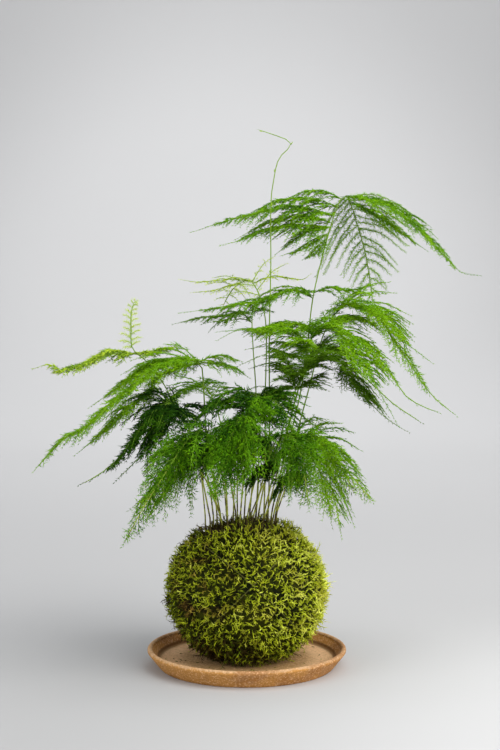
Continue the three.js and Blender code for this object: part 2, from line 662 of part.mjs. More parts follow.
// Rings of a leafy stretch: pairs of rings that bear whorls of needles and twigs, the last pair near
// the tip, where the twigs are no longer than the needles
function whorlRings(curve, radius, sides, pitch) {
  const length = curve.getLength();
  const whorls = Math.max(1, Math.round(length / pitch));
  return Array.from({ length: whorls }, (_, i) => {
    const from = (length * (i + 1)) / whorls - WHORL_FROM_TIP;
    const turn = (i * Math.PI) / sides;
    const twig = THREE.MathUtils.lerp(
      TWIG_LENGTH * Math.min(1, length / TWIG_FULL_FROM), NEEDLE_LENGTH, from / length,
    );
    return [from, from + WHORL_LENGTH].map((distance, end) => ({
      centre: curve.getPointAt(distance / length),
      radius: radius * (1 - (SPRAY_THINNING * distance) / length),
      turn,
      twig: end === 0 ? twig : 0,
    }));
  }).flat();
}

// A stem, bare from its root in the soil to where its needles start
function makeStem({ name, curve, leafFrom }) {
  const base = curve.getPoint(0);
  const root = new THREE.Vector3(base.x, base.y, soilTop(base.x, base.y) - STEM_BURIED);
  const steps = Math.max(3, Math.round((curve.getLength() * leafFrom) / STEM_STEP));
  const rings = [{ centre: root, radius: STEM_RADIUS, turn: 0 }];
  for (let i = 0; i < steps; i++) {
    const share = (i / steps) * leafFrom;
    const radius = THREE.MathUtils.lerp(STEM_RADIUS, STEM_TIP_RADIUS, share);
    rings.push({ centre: curve.getPoint(share), radius, turn: 0 });
  }
  if (leafFrom === 1) return new Shoot(name, STEM_SIDES, rings, curve.getPoint(1));
  const radius = THREE.MathUtils.lerp(STEM_RADIUS, STEM_TIP_RADIUS, leafFrom);
  rings.push({ centre: curve.getPoint(leafFrom), radius, turn: 0 });
  rings.push(...whorlRings(leafyCurve({ curve, leafFrom }), radius, STEM_SIDES, STEM_PITCH));
  return new Shoot(name, STEM_SIDES, rings, curve.getPoint(1));
}

// A slim core along a curve, thinning to a point, with whorls of needles out to its tip
function makeSpray(node, curve) {
  const root = { centre: curve.getPoint(0), radius: SPRAY_RADIUS, turn: 0 };
  const whorls = whorlRings(curve, SPRAY_RADIUS, SPRAY_SIDES, SPRAY_PITCH);
  return new Shoot(node, SPRAY_SIDES, [root, ...whorls], curve.getPoint(1));
}

// A spray whose line is bent, and then shortened, until it is clear of every other node
function makeClearSpray(node, points) {
  for (const share of SHORTENINGS) {
    for (const bend of BENDS) {
      const push = new THREE.Vector3(...bend);
      const bent = points.map((point, i) => {
        const away = point.clone().sub(points[0]).multiplyScalar(share).add(points[0]);
        return i > 0 ? away.add(push) : away;
      });
      const curve = curveThrough(bent);
      if (curve.getLength() < SPRAY_SHORTEST) continue;
      const spray = makeSpray(node, curve);
      if (spray.coreIsClear() && spray.core.every(clearOfBall)) return spray;
    }
  }
  return null;
}

// The three points of one side shoot of a pair, by the rule that the list of main shoots describes
function sideShootPoints(curve, shoot, share, hand, draw) {
  const from = shoot.leafFrom + (1 - shoot.leafFrom) * share * PAIRS_END;
  const start = curve.getPoint(from);
  const along = curve.getTangent(from);
  const aside = new THREE.Vector3(...shoot.side);
  aside.addScaledVector(along, -aside.dot(along)).normalize().multiplyScalar(hand);
  const outline = (1 - share) ** LENGTH_FALL * Math.min(1, LENGTH_AT_FOOT + LENGTH_RISE * share);
  const length = shoot.reach * outline * (1 + LENGTH_VARIES * (draw() - 0.5));
  const spread = shoot.spread * (1 - SPREAD_CLOSES * share) + SPREAD_VARIES * (draw() - 0.5);
  const angle = THREE.MathUtils.degToRad(spread);
  const end = start.clone()
    .addScaledVector(along, length * Math.cos(angle))
    .addScaledVector(aside, length * Math.sin(angle));
  end.z -= shoot.droop * length;
  const middle = start.clone().lerp(end, 0.5);
  middle.z += ARCH * length;
  return [start, middle, end];
}

function pairedLines(shoot) {
  const count = 2 * Math.round(shoot.pairs * PAIRS_SHARE);
  return Array.from({ length: count }, (_, i) => {
    const hand = i % 2 ? 1 : -1;
    return sideShootPoints(shoot.curve, shoot, (i + 0.5) / count, hand, shoot.draw);
  });
}

// The point inside a stem's own faceted body that is nearest to a point of its smooth curve
function sinkInto(stem, point) {
  const nearest = stem.core.map(({ line }) => line.closestPointToPoint(point, true, new THREE.Vector3()));
  return nearest.sort((a, b) => a.distanceTo(point) - b.distanceTo(point))[0];
}

// Every shoot: first all stems, then the long arms, then the pairs, each bent clear of the others
function makeShoots() {
  const meetings = [];
  const keep = (shoot, part, place) => {
    if (!part || !part.coreIsClear()) {
      meetings.push(`${shoot.name}: its ${place} meets another shoot`);
      return;
    }
    part.lay();
    shoot.parts.push(part);
  };
  const grown = SHOOTS.map((shoot, i) => {
    const curve = curveThrough(toPoints(shoot.stem));
    return { ...shoot, curve, draw: makeDraw(i + 1), parts: [] };
  });
  for (const shoot of grown) {
    shoot.main = makeStem(shoot);
    keep(shoot, shoot.main, 'stem');
  }
  for (const shoot of grown) {
    for (const [share, points] of shoot.arms) {
      const line = [sinkInto(shoot.main, shoot.curve.getPoint(share)), ...toPoints(points)];
      keep(shoot, makeClearSpray(shoot.name, line), `arm at ${share}`);
    }
  }
  for (const shoot of grown) {
    for (const [start, ...rest] of pairedLines(shoot)) {
      const spray = makeClearSpray(shoot.name, [sinkInto(shoot.main, start), ...rest]);
      if (spray) keep(shoot, spray, 'pair');
    }
  }
  if (meetings.length > 0) throw new Error(meetings.join('\n'));
  return grown.map(({ name, colour, parts }) => (
    makeMesh(name, fromSolid(joinSolids(parts.map((part) => part.solid()))), colour)
  ));
}

const kokedama = new THREE.Group();
kokedama.name = 'kokedama';
kokedama.add(makeSaucer(), makeSoil(), makeMoss(), makeThread(), ...makeShoots());

export default kokedama;
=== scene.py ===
"""A moss ball plant: fern-like asparagus in a ball of soil and moss on a clay saucer.

Lengths are metres and +Z is up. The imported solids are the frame. Each finished piece stands in the
place of one of them, at the origin and unturned, with its place in its mesh.
"""

import math

import bpy
import numpy as np
from bpy.props import FloatProperty, FloatVectorProperty, IntProperty, PointerProperty
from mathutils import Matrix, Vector


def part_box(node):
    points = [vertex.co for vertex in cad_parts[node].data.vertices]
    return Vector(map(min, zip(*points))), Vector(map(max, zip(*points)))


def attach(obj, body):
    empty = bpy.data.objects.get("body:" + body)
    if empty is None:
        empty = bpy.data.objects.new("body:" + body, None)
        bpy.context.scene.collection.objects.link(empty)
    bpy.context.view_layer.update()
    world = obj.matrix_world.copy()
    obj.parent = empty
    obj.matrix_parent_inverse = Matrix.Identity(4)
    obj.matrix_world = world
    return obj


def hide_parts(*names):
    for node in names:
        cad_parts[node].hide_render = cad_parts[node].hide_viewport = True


bl_info = {
    "name": "Moss ball plant",
    "version": (1, 0, 0),
    "blender": (4, 5, 0),
    "location": "3D View > Sidebar > Moss ball",
    "description": "Makes the finished pieces of a moss ball plant around its packed solids",
    "category": "Object",
}

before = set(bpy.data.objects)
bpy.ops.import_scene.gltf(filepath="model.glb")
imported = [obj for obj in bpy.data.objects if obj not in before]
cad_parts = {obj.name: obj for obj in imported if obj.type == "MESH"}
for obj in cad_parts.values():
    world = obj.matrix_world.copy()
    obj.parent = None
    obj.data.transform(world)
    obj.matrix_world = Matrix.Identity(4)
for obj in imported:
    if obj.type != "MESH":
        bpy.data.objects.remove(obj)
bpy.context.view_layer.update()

MM = 0.001
BODY = "root"
TAU = 2 * math.pi
UP = [0.0, 0.0, 1.0]

# Where the frame says that the saucer and the soil end, and where the leaves are deepest, round
# which they are painted darker as shade
SAUCER_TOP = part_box("saucer")[1]
SOIL_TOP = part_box("soil_core")[1]
INNER_SHADE_MIDDLE = (-0.012, -0.028, 0.168)

# Saucer, beside what its settings hold. A pair says where something fades in or out: the rings of
# turning by radius, the wall's waver by height, the lip's wear and painted highlight by how far
# below the lip's top, and the painted shade of the crease by how far inside the well's radius. The
# well's wear and painted highlight end at the well's corner over twice the edge
SAUCER_FOOT = 0.0665
SAUCER_WELL = 0.067
SAUCER_CHAMFER = 0.001
SAUCER_CORNER = 0.0025
LIP_FROM = -0.4
SAUCER_AROUND = 144
FOOT_STEPS, WALL_STEPS, LIP_STEPS, CORNER_STEPS, FLOOR_STEPS = 4, 6, 14, 6, 46
TURNING_PITCH, TURNING_DEPTH, TURNING_SWAY = 0.0037, 0.00012, 0.8
TURNING_IN, TURNING_OUT = (0.01, 0.02), (0.058, 0.064)
WAVER, WAVER_LOBES, WAVER_TURN, WAVER_IN = 0.0012, 3, 1.1, (0.002, 0.010)
LIP_WEAR_AND_HIGHLIGHT, WELL_HIGHLIGHT = (0.0022, 0.0004), 1.4
# Painted shade in the crease where the wall meets the floor: how far in, how dark, and how high
CREASE_SHADE_IN, CREASE_SHADE_DEPTH, CREASE_SHADE_HIGH = (0.0034, 0.0012), 0.75, 0.003
EDGE = 0.001

# Rough patterns: how many sines each adds up, their sizes as multiples of the pattern's, and about
# how high their sum gets. A pattern's parts each have a height, a size and a seed
WAVES, WAVE_SIZES, WAVES_PEAK = 14, (0.7, 1.4), 1.5

# How many sides tubes have: strands, twigs and needles, then side stems, bracts and stems
THIN_SIDES, SIDE_STEM_SIDES, BRACT_SIDES, STEM_SIDES = 3, 4, 5, 6

# Moss ball and soil, two flattened spheres: half sizes and middles. The moss starts at the height
# of the seat, just over the saucer's floor
BALL_HALF = np.array([0.060, 0.060, 0.057])
BALL_MIDDLE = np.array([0.0, 0.0, 0.057])
SOIL_HALF = np.array([0.050, 0.050, 0.048])
SOIL_MIDDLE = np.array([0.0, 0.0, 0.062])
SEAT = 0.0053
# The soil's surface sinks under its sphere by shares of the radius, deepest between its crumbs
SOIL_SINK, SOIL_CRUMBS, SOIL_POLE = 0.006, 0.012, 0.985
SOIL_PATTERN = ((0.6, 0.14, 1), (0.4, 0.06, 2))
SOIL_DOWN, SOIL_AROUND = 44, 72
# The mat of moss lies outside the soil by a gap and under the ball's surface, most under the
# thread. Its shade multiplies its colours down to nearly black: painted shade, a dark sheet under
# the strands for the shade in the gaps between them
SOIL_GAP = 0.0006
OPENING_MIDDLE = np.array([-0.004, -0.001])
OPENING_HALF = np.array([0.034, 0.024])
MAT_SINK, MAT_ROUGH, MAT_CREASE, MAT_TINT, MAT_PAINTED_SHADE = 0.0036, 0.0011, 0.0012, 0.41, 0.08
MAT_PATTERN = ((0.6, 0.011, 3), (0.4, 0.004, 4))
MAT_AROUND, MAT_DOWN, MAT_BACK = 90, 36, 10

# Moss strands. Leans are in degrees, lengths and reaches multiples of the usual or of the strand's
# length, and tints add to or take from a strand's place between old moss, 0, and the palest tips, 1
STRAND_SINK, STRAND_LUMPS = 0.0032, ((0.0015, 0.022, 5), (0.0009, 0.009, 8))
STRAND_SCATTER, STRAND_LEAN, STRAND_LENGTHS = 0.012, (8, 66), (0.65, 1.3)
STRAY_SHARE, STRAY_LENGTH = 0.03, 1.7
SEAT_CLEAR, OPENING_FROM = 0.001, 0.97
# In the opening: the share of strands that grow, their lift, their length, and how much darker they are as
# painted shade
OPENING_SHARE, OPENING_LIFT, OPENING_LENGTH, OPENING_PAINTED_SHADE = 0.7, 0.0015, 0.75, 0.32
UPPER_FROM = 0.06
MOSS_TINT, STRAND_VARIES = 0.50, 0.17
MOSS_CLUMPS = ((0.15, 0.012, 6), (0.11, 0.03, 7))
# Painted light and shade in the moss's tints: paler towards the upper right, where the key light falls, and
# darker as painted shade near the opening's rim under the leaves and low on the ball
PAINTED_LIGHT_PALER, PAINTED_LIGHT_WAY = 0.32, [0.85, -0.2, 0.3]
RIM_PAINTED_SHADE, RIM_FADES, LOW_PAINTED_SHADE, LOW_FADES = 0.32, (1.0, 1.35), 0.42, (0.010, 0.040)
# Along a strand: how thick its four places are and how their tints differ, deepest at the root as
# partly old moss and partly painted shade in the gaps, and how much it turns at its first third and
# more at each next one, to one side and down
STRAND_SHAPE, STRAND_TINTS = np.array([[0.8, 1.0, 0.85, 0.0]]), np.array([-0.55, -0.15, 0.1, 0.24])
CURL_FIRST, CURL_MORE, CURL_ASIDE, CURL_DOWN = 0.1, 0.22, 0.9, 0.35
# Prongs leave a strand along part of it. Their tints are deeper than its own, and rise along the
# strand and from a prong's root to its tip
PRONGS, PRONGS_FROM, PRONGS_ALONG = 4, 0.18, 0.72
PRONG_DEEPER, PRONG_PALES, PRONG_TINTS = 0.2, 0.3, np.array([0.0, 0.22])
PRONG_LEAN, PRONG_REACH, PRONG_SHAPE = (35, 75), (0.26, 0.46), np.array([[0.75, 0]])
SCRAPS, SCRAP_RING, SCRAP_LIFT, SCRAP_CURL = 55, (0.036, 0.0635), 0.0002, 0.0005
SCRAP_LENGTHS, SCRAP_TINTS = (0.2, 0.55), (0.05, 0.5)
SCRAP_THICK, SCRAP_SHAPE = 0.7, np.array([[0.9, 1, 0.8, 0]])

# Turns of thread, as the tilt of their planes and where each plane leans. How far apart its plies are
# is a multiple of their radius
THREAD_TILT = math.radians(46)
THREAD_TURNS = (math.radians(20), math.radians(170))
THREAD_DEPTH = 0.0028
THREAD_STEPS, THREAD_TWISTS, PLY_SIDES, PLY_APART = 160, 90, 5, 0.9
FURROW_FLAT, FURROW_EDGE = 0.004, 0.008

# Lines of shoots: how many places a line has, and how closely curves are followed to find them
LINE_STEPS, SIDE_STEPS = 28, 12
STEM_CLOSE, LEAFY_CLOSE, ARM_CLOSE = 300, 8 * LINE_STEPS, 200
# A stem starts this deep in the soil, and has so many places a metre, or at least so many
STEM_BURIED, STEM_STEPS, STEM_LEAST_STEPS = 0.009, 200, 12
STEM_GUIDE = [0.3, 0.9, 0.1]
# How far on both sides of a place on a stem its way is taken, and how level an arm is at least that
# has its side shoots to its level sides
SLOPE_STEP, LEVEL_LEAST = 0.004, 0.5

# How side shoots that grow in pairs change along a stem or an arm
PAIRS_END, ARM_PAIRS_END = 0.97, 0.84
LENGTH_AT_FOOT, LENGTH_RISE, LENGTH_FALL, LENGTH_VARIES = 0.65, 3, 0.75, 0.3
SPREAD_CLOSES, SPREAD_VARIES = 0.25, 10
ARCH, DROOP_VARIES = 0.12, 1.2
ARM_LEVELS, ARM_SPREAD, ARM_DROOP, ARM_REACHES = 0.55, 40, 0.36, (0.016, 0.034)

# Twigs and needles. Leans and tilts are in degrees, for twigs as a middle and a spread and for
# needles from least to most. The lace values are for a laced stem and its side shoots: multiples, and
# what is added to the tint
TWIG_LEAN, TWIG_TILT, TWIG_SAG, TWIG_LENGTHS = (52, 9), (0, 11), (0.05, 0.2), (0.75, 1.2)
TWIG_SHARE, TWIG_LEAST, TWIG_DROPPED, TWIG_FORWARD = 0.25, 0.003, 0.0014, 0.15
TWIG_PLACES, TWIG_AT_FOOT, TWIG_RISE, TWIG_FALL = (0.2, 0.8), 0.45, 3.5, 0.55
TWIG_RADIUS, SIDE_RADII = 0.00028, (0.00034, 0.00012)
TAIL_FROM, TAIL_TO, TAIL_THINS, TRAIL_THINS = 0.55, 0.95, 0.35, 0.4
NEEDLE_LEAN, NEEDLE_LENGTHS, NEEDLES_FLAT = (28, 70), (0.7, 1.15), 0.35
LACE_SPACING, LACE_STEM, LACE_TWIGS, LACE_PALER, LACE_FINER = 0.27, 0.35, 0.35, 0.4, 0.72
BRACTS, BRACT_FROM, BRACT_TO, BRACT_SUNK = 11, 0.22, 0.985, 0.8
BRACT_RADII, BRACT_STEPS, BRACT_LEANS = [0.0003, 0.00045, 0], (0.0013, 0.0015), (0.35, 0.15)

# Tints, from 0 for the deepest to 1 for the palest, how far they vary, how much they rise along a
# line or a twig, and how they differ from the root of a needle to its tip
STEM_TINT, SIDE_TINT, LEAF_TINT = 0.5, 0.45, 0.42
SHOOT_VARIES, LINE_VARIES, TWIG_VARIES, NEEDLE_VARIES = 0.05, 0.12, 0.05, 0.07
LINE_PALES, TWIG_PALES, NEEDLE_TINTS = 0.22, 0.1, np.array([-0.06, 0.1])
# How far patches of moss and leaves change a tint either way
PATCHES = 0.14
# How much of the stem's colour side stems, bracts and twigs have: a leaf has 0 of it
SIDE_WOOD, BRACT_WOOD, TWIG_WOOD = 0.65, 0.35, 0.15

# Seeds of the random draws, and each shoot adds its number to the last
MOSS_SEED, SCRAP_SEED, SHOOT_SEED = 21, 33, 100

# Stage: the backdrop's front edge, where it starts to bend, the bend's radius, its top and its half
# width, where its painted light is palest, and the lights with their places, targets, sizes and
# colours
BOARD_FRONT, BOARD_BACK, BOARD_BEND, BOARD_TOP, BOARD_SIDE = -3.5, 1.3, 1.2, 3.0, 4.0
BOARD_STEPS = 24
BOARD_PAINTED_LIGHT_MIDDLE = (-0.06, 2.1, 0.34)
CAMERA_ASIDE = 0.0025
SENSOR_WIDTH = 36
PLANT_MIDDLE = (0, 0, 0.2)
LIGHTS = {
    "key": ((1.05, -0.9, 1.0), PLANT_MIDDLE, 1.8, (1.0, 0.985, 0.96)),
    "fill": ((-1.3, -0.9, 0.7), PLANT_MIDDLE, 1.4, (0.96, 0.98, 1.0)),
    "top": ((0.1, -0.05, 1.6), (0, -0.05, 0.2), 1.2, (1.0, 1.0, 1.0)),
    "wall": ((0, 1.1, 1.5), (0, 2.4, 0.35), 0.8, (1.0, 1.0, 1.0)),
}
SKY_COLOUR = (0.95, 0.97, 1.0, 1)

# What a shoot has where its entry says nothing else. Along its stem, leaf_from is where the needles
# start, as a share of the list of points. From there on side shoots grow in pairs: reach is the
# longest one in millimetres, spread its angle from the stem in degrees, droop how far its tip sags as
# a share of its length, and side the way that it first points. The rest changes how it looks.
# Fullness, arm_fullness, arm_reach, sag, twigs, needles, lace and bold are multiples of the usual:
# of the number of side shoots on the stem and on its arms, of how long the latter are, of how far
# both sag, of how long twigs and needles are, of both on the stem and its side shoots alone, and of
# how thick twigs and needles are. Light is painted light added to the tint of its leaves, and painted
# shade where it is below 0. Level is how level the sprays lie: 1 flat, and 0 in the plane that a
# side shoot makes with what it grows from. Crowded is the share of a stem or an arm that bears them:
# the rest trails with short twigs.
USUAL_SHOOT = {
    "leaf_from": 0.36, "pairs": 9, "reach": 40, "spread": 52, "droop": 0.2, "side": [0.2, 1, 0.1],
    "fullness": 1, "arm_fullness": 1, "arm_reach": 1, "sag": 1, "twigs": 1, "needles": 1, "lace": 1,
    "bold": 1, "light": 0, "level": 1, "crowded": 1,
}


def entry(name, colour, stem, arms=(), sprays=(), **values):
    """What one shoot is made from. A stem is a list of points in millimetres that its line passes
    through, from the soil to the tip. Arms are its long side shoots: where each leaves the stem, as a
    share of the list, and its points. Sprays are more arms, which the solids leave out."""
    return {
        **USUAL_SHOOT, **values, "name": name, "colour": colour, "stem": stem, "arms": [*arms, *sprays],
    }


SHOOTS = [
    entry(
        "tall_shoot", "young", leaf_from=1,
        stem=[
            [16, 1, 111], [17, 2, 147], [17, 4, 207], [17, 4, 252], [18, 4, 297], [18, 2, 345],
            [20, 0, 363], [23, 0, 377], [28, 0, 384], [33, 0, 388], [31, -2, 392], [26, -4, 394],
            [17, -6, 397], [7, -8, 400],
        ],
    ),
    entry(
        "frond_high", "bright", leaf_from=0.66, reach=58, spread=58, droop=0.18, side=[1, 0, 0],
        fullness=1.12, arm_fullness=1.5, arm_reach=1.1, twigs=0.8, needles=0.95, lace=0.88, light=0.05,
        bold=1.15,
        stem=[
            [18, 5, 111], [26, 9, 146], [35, 12, 180], [41, 16, 206], [46, 20, 240], [50, 24, 274],
            [57, 28, 305], [64, 32, 330], [70, 36, 348], [75, 40, 354], [80, 46, 349], [85, 52, 335],
            [91, 58, 317], [96, 64, 296], [100, 70, 268],
        ],
        arms=[
            [0.36, [[40, 17, 284], [17, 11, 276], [-14, 0, 270], [-50, -6, 265]]],
            [0.37, [[62, 22, 284], [76, 14, 282], [86, 8, 284], [95, 4, 289]]],
            [0.53, [[40, 22, 345], [12, 14, 341], [-14, 8, 334], [-41, 4, 325]]],
            [0.5, [[40, 20, 331], [11, 12, 326], [-5, 2, 319], [-19, -2, 315]]],
            [0.485, [[44, 20, 314], [27, 12, 308]]],
            [0.475, [[54, 26, 311], [43, 20, 305]]],
            [0.6, [[60, 44, 358], [45, 50, 358], [30, 54, 352]]],
            [0.65, [
                [88, 34, 352], [100, 28, 349], [116, 20, 339], [134, 12, 322], [148, 6, 307],
                [160, 2, 295], [173, 0, 293],
            ]],
            [0.7, [[99, 46, 340], [118, 40, 326], [138, 36, 312]]],
        ],
        sprays=[
            [0.51, [[46, 26, 338], [30, 20, 336], [10, 16, 330], [-8, 12, 320]]],
            [0.56, [[50, 34, 352], [32, 34, 352], [14, 32, 346], [-2, 28, 338]]],
            [0.5, [[46, 24, 326], [34, 20, 318], [22, 16, 309]]],
        ],
    ),
    entry(
        "frond_right_upper", "bright", leaf_from=0.42, pairs=10, reach=52, spread=42, droop=0.25,
        side=[0.3, 1, 0.2], arm_fullness=1.5, arm_reach=1.2, sag=0.6, light=0.2, crowded=0.86,
        stem=[
            [21, 8, 111], [31, 13, 146], [40, 18, 180], [48, 20, 210], [56, 18, 242], [63, 14, 259],
            [74, 8, 271], [86, 0, 270], [99, -8, 260], [111, -14, 242], [124, -18, 222], [136, -20, 205],
            [154, -22, 190],
        ],
        arms=[
            [0.5, [[95, -10, 266], [114, -20, 246], [135, -30, 229]]],
            [0.36, [[40, 10, 257], [14, 8, 253], [-5, -6, 253], [-22, -12, 245]]],
        ],
        sprays=[
            [0.31, [[40, 14, 240], [22, 16, 243], [4, 16, 238]]],
            [0.42, [[80, 2, 262], [94, -2, 256], [108, -6, 244]]],
        ],
    ),
    entry(
        "frond_mid", "bright", reach=46, spread=46, droop=0.22, arm_fullness=1.5, arm_reach=1.3, sag=0.5,
        light=0.2, crowded=0.72, bold=1.1,
        stem=[
            [12, -2, 111], [19, -4, 140], [28, -6, 170], [36, -8, 200], [42, -10, 223], [46, -10, 242],
            [53, -13, 253], [65, -18, 253], [78, -24, 247], [92, -30, 237], [104, -34, 222],
            [115, -37, 206], [126, -39, 199], [139, -40, 194],
        ],
        arms=[
            [0.38, [[32, -14, 254], [10, -20, 254], [-8, -24, 253], [-21, -28, 252]]],
            [0.55, [[86, -40, 226], [98, -48, 204], [108, -54, 186]]],
        ],
        sprays=[
            [0.34, [[28, -6, 236], [14, -2, 240], [0, 0, 238]]],
            [0.42, [[66, -8, 262], [82, -10, 260], [98, -14, 250]]],
            [0.37, [[40, -24, 245], [44, -38, 246], [50, -52, 242]]],
        ],
    ),
    entry(
        "frond_centre_right", "dark", leaf_from=0.38, reach=50, spread=48, arm_fullness=1.5,
        arm_reach=1.3, sag=0.5, light=0.52, crowded=0.6,
        stem=[
            [8, -6, 111], [14, -10, 141], [24, -15, 171], [32, -20, 198], [39, -23, 216], [48, -28, 230],
            [60, -34, 233], [74, -42, 227], [87, -48, 218], [104, -52, 202], [125, -56, 188],
        ],
        arms=[
            [0.4, [[24, -30, 237], [11, -36, 235], [-6, -42, 228]]],
            [0.66, [[78, -30, 213], [94, -26, 196], [106, -24, 186], [119, -24, 178]]],
        ],
        sprays=[
            [0.36, [[30, -20, 224], [16, -14, 228], [2, -10, 224]]],
            [0.44, [[62, -24, 240], [78, -30, 238], [92, -34, 228]]],
            [0.31, [[22, -22, 208], [10, -20, 212], [-2, -20, 208]]],
            [0.36, [[50, -16, 218], [64, -12, 224], [78, -10, 220]]],
            [0.36, [[34, -34, 222], [40, -48, 222], [50, -60, 216]]],
        ],
    ),
    entry(
        "frond_pale", "young", leaf_from=0.55, pairs=5, reach=36, spread=75, droop=0.05, side=[1, 0, 0],
        arm_fullness=0.8, arm_reach=0.8, sag=0.2, twigs=0.4, needles=0.75, level=0, light=0.3,
        stem=[
            [13, 10, 111], [14, 13, 146], [14, 15, 199], [15, 17, 241], [14, 18, 261], [10, 20, 277],
            [3, 24, 289], [-7, 34, 286], [-14, 44, 278], [-19, 52, 268],
        ],
        arms=[
            [0.64, [[19, 24, 292], [31, 24, 291], [42, 16, 290], [48, 12, 294]]],
            [0.67, [[-14, 26, 290], [-36, 24, 288], [-51, 22, 290]]],
            [0.74, [[-24, 30, 282], [-42, 28, 280]]],
        ],
    ),
    entry(
        "frond_small", "dark", leaf_from=0.7, pairs=3, reach=14, spread=60, side=[0.3, 1, 0],
        arm_fullness=1.2, twigs=0.8, light=0.3,
        stem=[
            [2, -2, 111], [5, -3, 148], [6, -4, 178], [7, -4, 205], [5, -2, 236], [4, 0, 258],
            [5, 2, 266], [10, 7, 268], [19, 14, 266],
        ],
        arms=[
            [0.7, [[-5, -4, 266], [-17, -8, 263], [-34, -12, 262], [-54, -14, 257]]],
            [0.62, [[-3, -8, 265], [-13, -16, 261], [-30, -20, 258]]],
        ],
    ),
    entry(
        "frond_left_tip", "young", leaf_from=0.66, pairs=7, reach=9, spread=75, droop=-0.1,
        side=[1, 0, 0], arm_fullness=3, arm_reach=0.7, sag=0.8, needles=1.15, lace=0.6, bold=1.2,
        stem=[
            [-25, 6, 111], [-29, 6, 139], [-37, 6, 162], [-47, 8, 181], [-57, 10, 201], [-64, 10, 214],
            [-71, 12, 223], [-77, 12, 230], [-84, 12, 235], [-87, 12, 241], [-87, 12, 252],
            [-87, 12, 263], [-85, 12, 272], [-82, 12, 274],
        ],
        arms=[
            [0.6, [
                [-99, 8, 236], [-116, 4, 229], [-131, 0, 224], [-138, -2, 222], [-142, -3, 225],
                [-148, -4, 227], [-158, -6, 224],
            ]],
            [0.61, [[-73, 6, 236], [-61, 4, 239], [-50, 2, 240]]],
            [0.5, [[-81, 24, 220], [-99, 34, 210]]],
        ],
    ),
    entry(
        "frond_left_arch", "bright", pairs=11, reach=44, spread=46, fullness=1.5, arm_fullness=1.7,
        arm_reach=1.2, light=0.2,
        stem=[
            [-19, 0, 111], [-24, -3, 137], [-29, -6, 163], [-31, -8, 192], [-32, -9, 212],
            [-34, -12, 228], [-44, -18, 232], [-59, -26, 228], [-73, -34, 219], [-88, -40, 208],
            [-103, -46, 196], [-115, -50, 185], [-128, -54, 178], [-138, -57, 169], [-151, -60, 154],
        ],
        arms=[
            [0.4, [[-61, 2, 229], [-76, 4, 222], [-95, 4, 210], [-118, 4, 194]]],
            [0.37, [[-23, -12, 234], [-14, -16, 233], [-4, -20, 230]]],
            [0.54, [[-71, -20, 208], [-85, -26, 196], [-98, -30, 184], [-124, -36, 163]]],
        ],
        sprays=[
            [0.36, [[-22, -14, 228], [-10, -20, 226], [2, -24, 218]]],
            [0.36, [[-44, -4, 226], [-58, 2, 222], [-72, 6, 212]]],
        ],
    ),
    entry(
        "frond_left_dark", "dark", spread=48, droop=0.25, fullness=1.7, sag=1.5, twigs=1.2, light=-0.22,
        crowded=0.8, bold=1.5,
        stem=[
            [-27, -8, 111], [-32, -12, 138], [-37, -18, 165], [-43, -22, 183], [-50, -28, 196],
            [-58, -34, 200], [-68, -42, 193], [-78, -48, 180], [-90, -52, 164], [-104, -56, 152],
            [-119, -60, 144],
        ],
        arms=[
            [0.42, [[-56, -50, 186], [-71, -58, 169], [-82, -62, 158], [-93, -66, 147]]],
            [0.48, [[-71, -20, 172], [-73, -18, 153], [-73, -18, 141]]],
        ],
        sprays=[
            [0.38, [[-42, -14, 198], [-34, -6, 196], [-24, 0, 188]]],
            [0.44, [[-60, -20, 200], [-70, -10, 192], [-80, -2, 180]]],
            [0.4, [[-44, -36, 194], [-36, -44, 188], [-30, -52, 176]]],
        ],
    ),
    entry(
        "frond_front_left", "bright", reach=44, spread=50, droop=0.15, side=[0.8, 0.5, 0.3], fullness=1.8,
        sag=3.5, twigs=1.2, level=0, light=-0.12, bold=1.1,
        stem=[
            [-14, -14, 111], [-15, -22, 135], [-18, -34, 159], [-23, -44, 177], [-30, -52, 184],
            [-40, -60, 179], [-50, -66, 165], [-61, -70, 148], [-73, -73, 129], [-87, -76, 103],
        ],
        arms=[
            [0.55, [[-59, -40, 153], [-71, -36, 136], [-86, -34, 122]]],
        ],
    ),
    entry(
        "frond_front_centre", "bright", pairs=8, reach=36, spread=50, side=[0.9, 0.3, 0.2], fullness=2.3,
        sag=3.5, twigs=1.3, level=0, light=-0.18, bold=1.3,
        stem=[
            [-5, -16, 111], [-3, -26, 136], [0, -38, 163], [1, -50, 184], [-2, -60, 194], [-7, -68, 189],
            [-13, -74, 174], [-18, -78, 156], [-23, -80, 138],
        ],
        arms=[
            [0.42, [[4, -70, 178], [0, -78, 157], [-10, -84, 145]]],
        ],
    ),
    entry(
        "frond_front_right", "bright", pairs=8, side=[0.9, -0.3, 0.2], fullness=1.8, sag=3.5, twigs=1.2,
        level=0, light=-0.05,
        stem=[
            [4, -14, 111], [10, -22, 135], [16, -34, 160], [22, -46, 176], [29, -56, 180], [36, -64, 174],
            [40, -70, 158], [44, -72, 128],
        ],
    ),
    entry(
        "frond_right_low", "bright", reach=44, spread=48, side=[0.4, 1, 0.3], light=0.25, arm_reach=1.3,
        stem=[
            [19, -6, 111], [25, -9, 133], [33, -12, 156], [40, -14, 171], [48, -17, 175], [58, -22, 168],
            [68, -28, 157], [80, -32, 143], [92, -36, 128],
        ],
        arms=[
            [0.45, [[49, -6, 173], [63, 0, 168], [71, 2, 166]]],
            [0.55, [[60, -40, 169], [71, -44, 162], [82, -46, 150]]],
            [0.62, [[62, -34, 137], [66, -38, 121], [69, -40, 103]]],
            [0.5, [[55, -30, 145], [60, -33, 126], [62, -36, 110]]],
        ],
        sprays=[
            [0.36, [[25, -18, 162], [15, -26, 170], [4, -32, 168]]],
            [0.38, [[36, -14, 176], [28, -20, 186], [18, -26, 188]]],
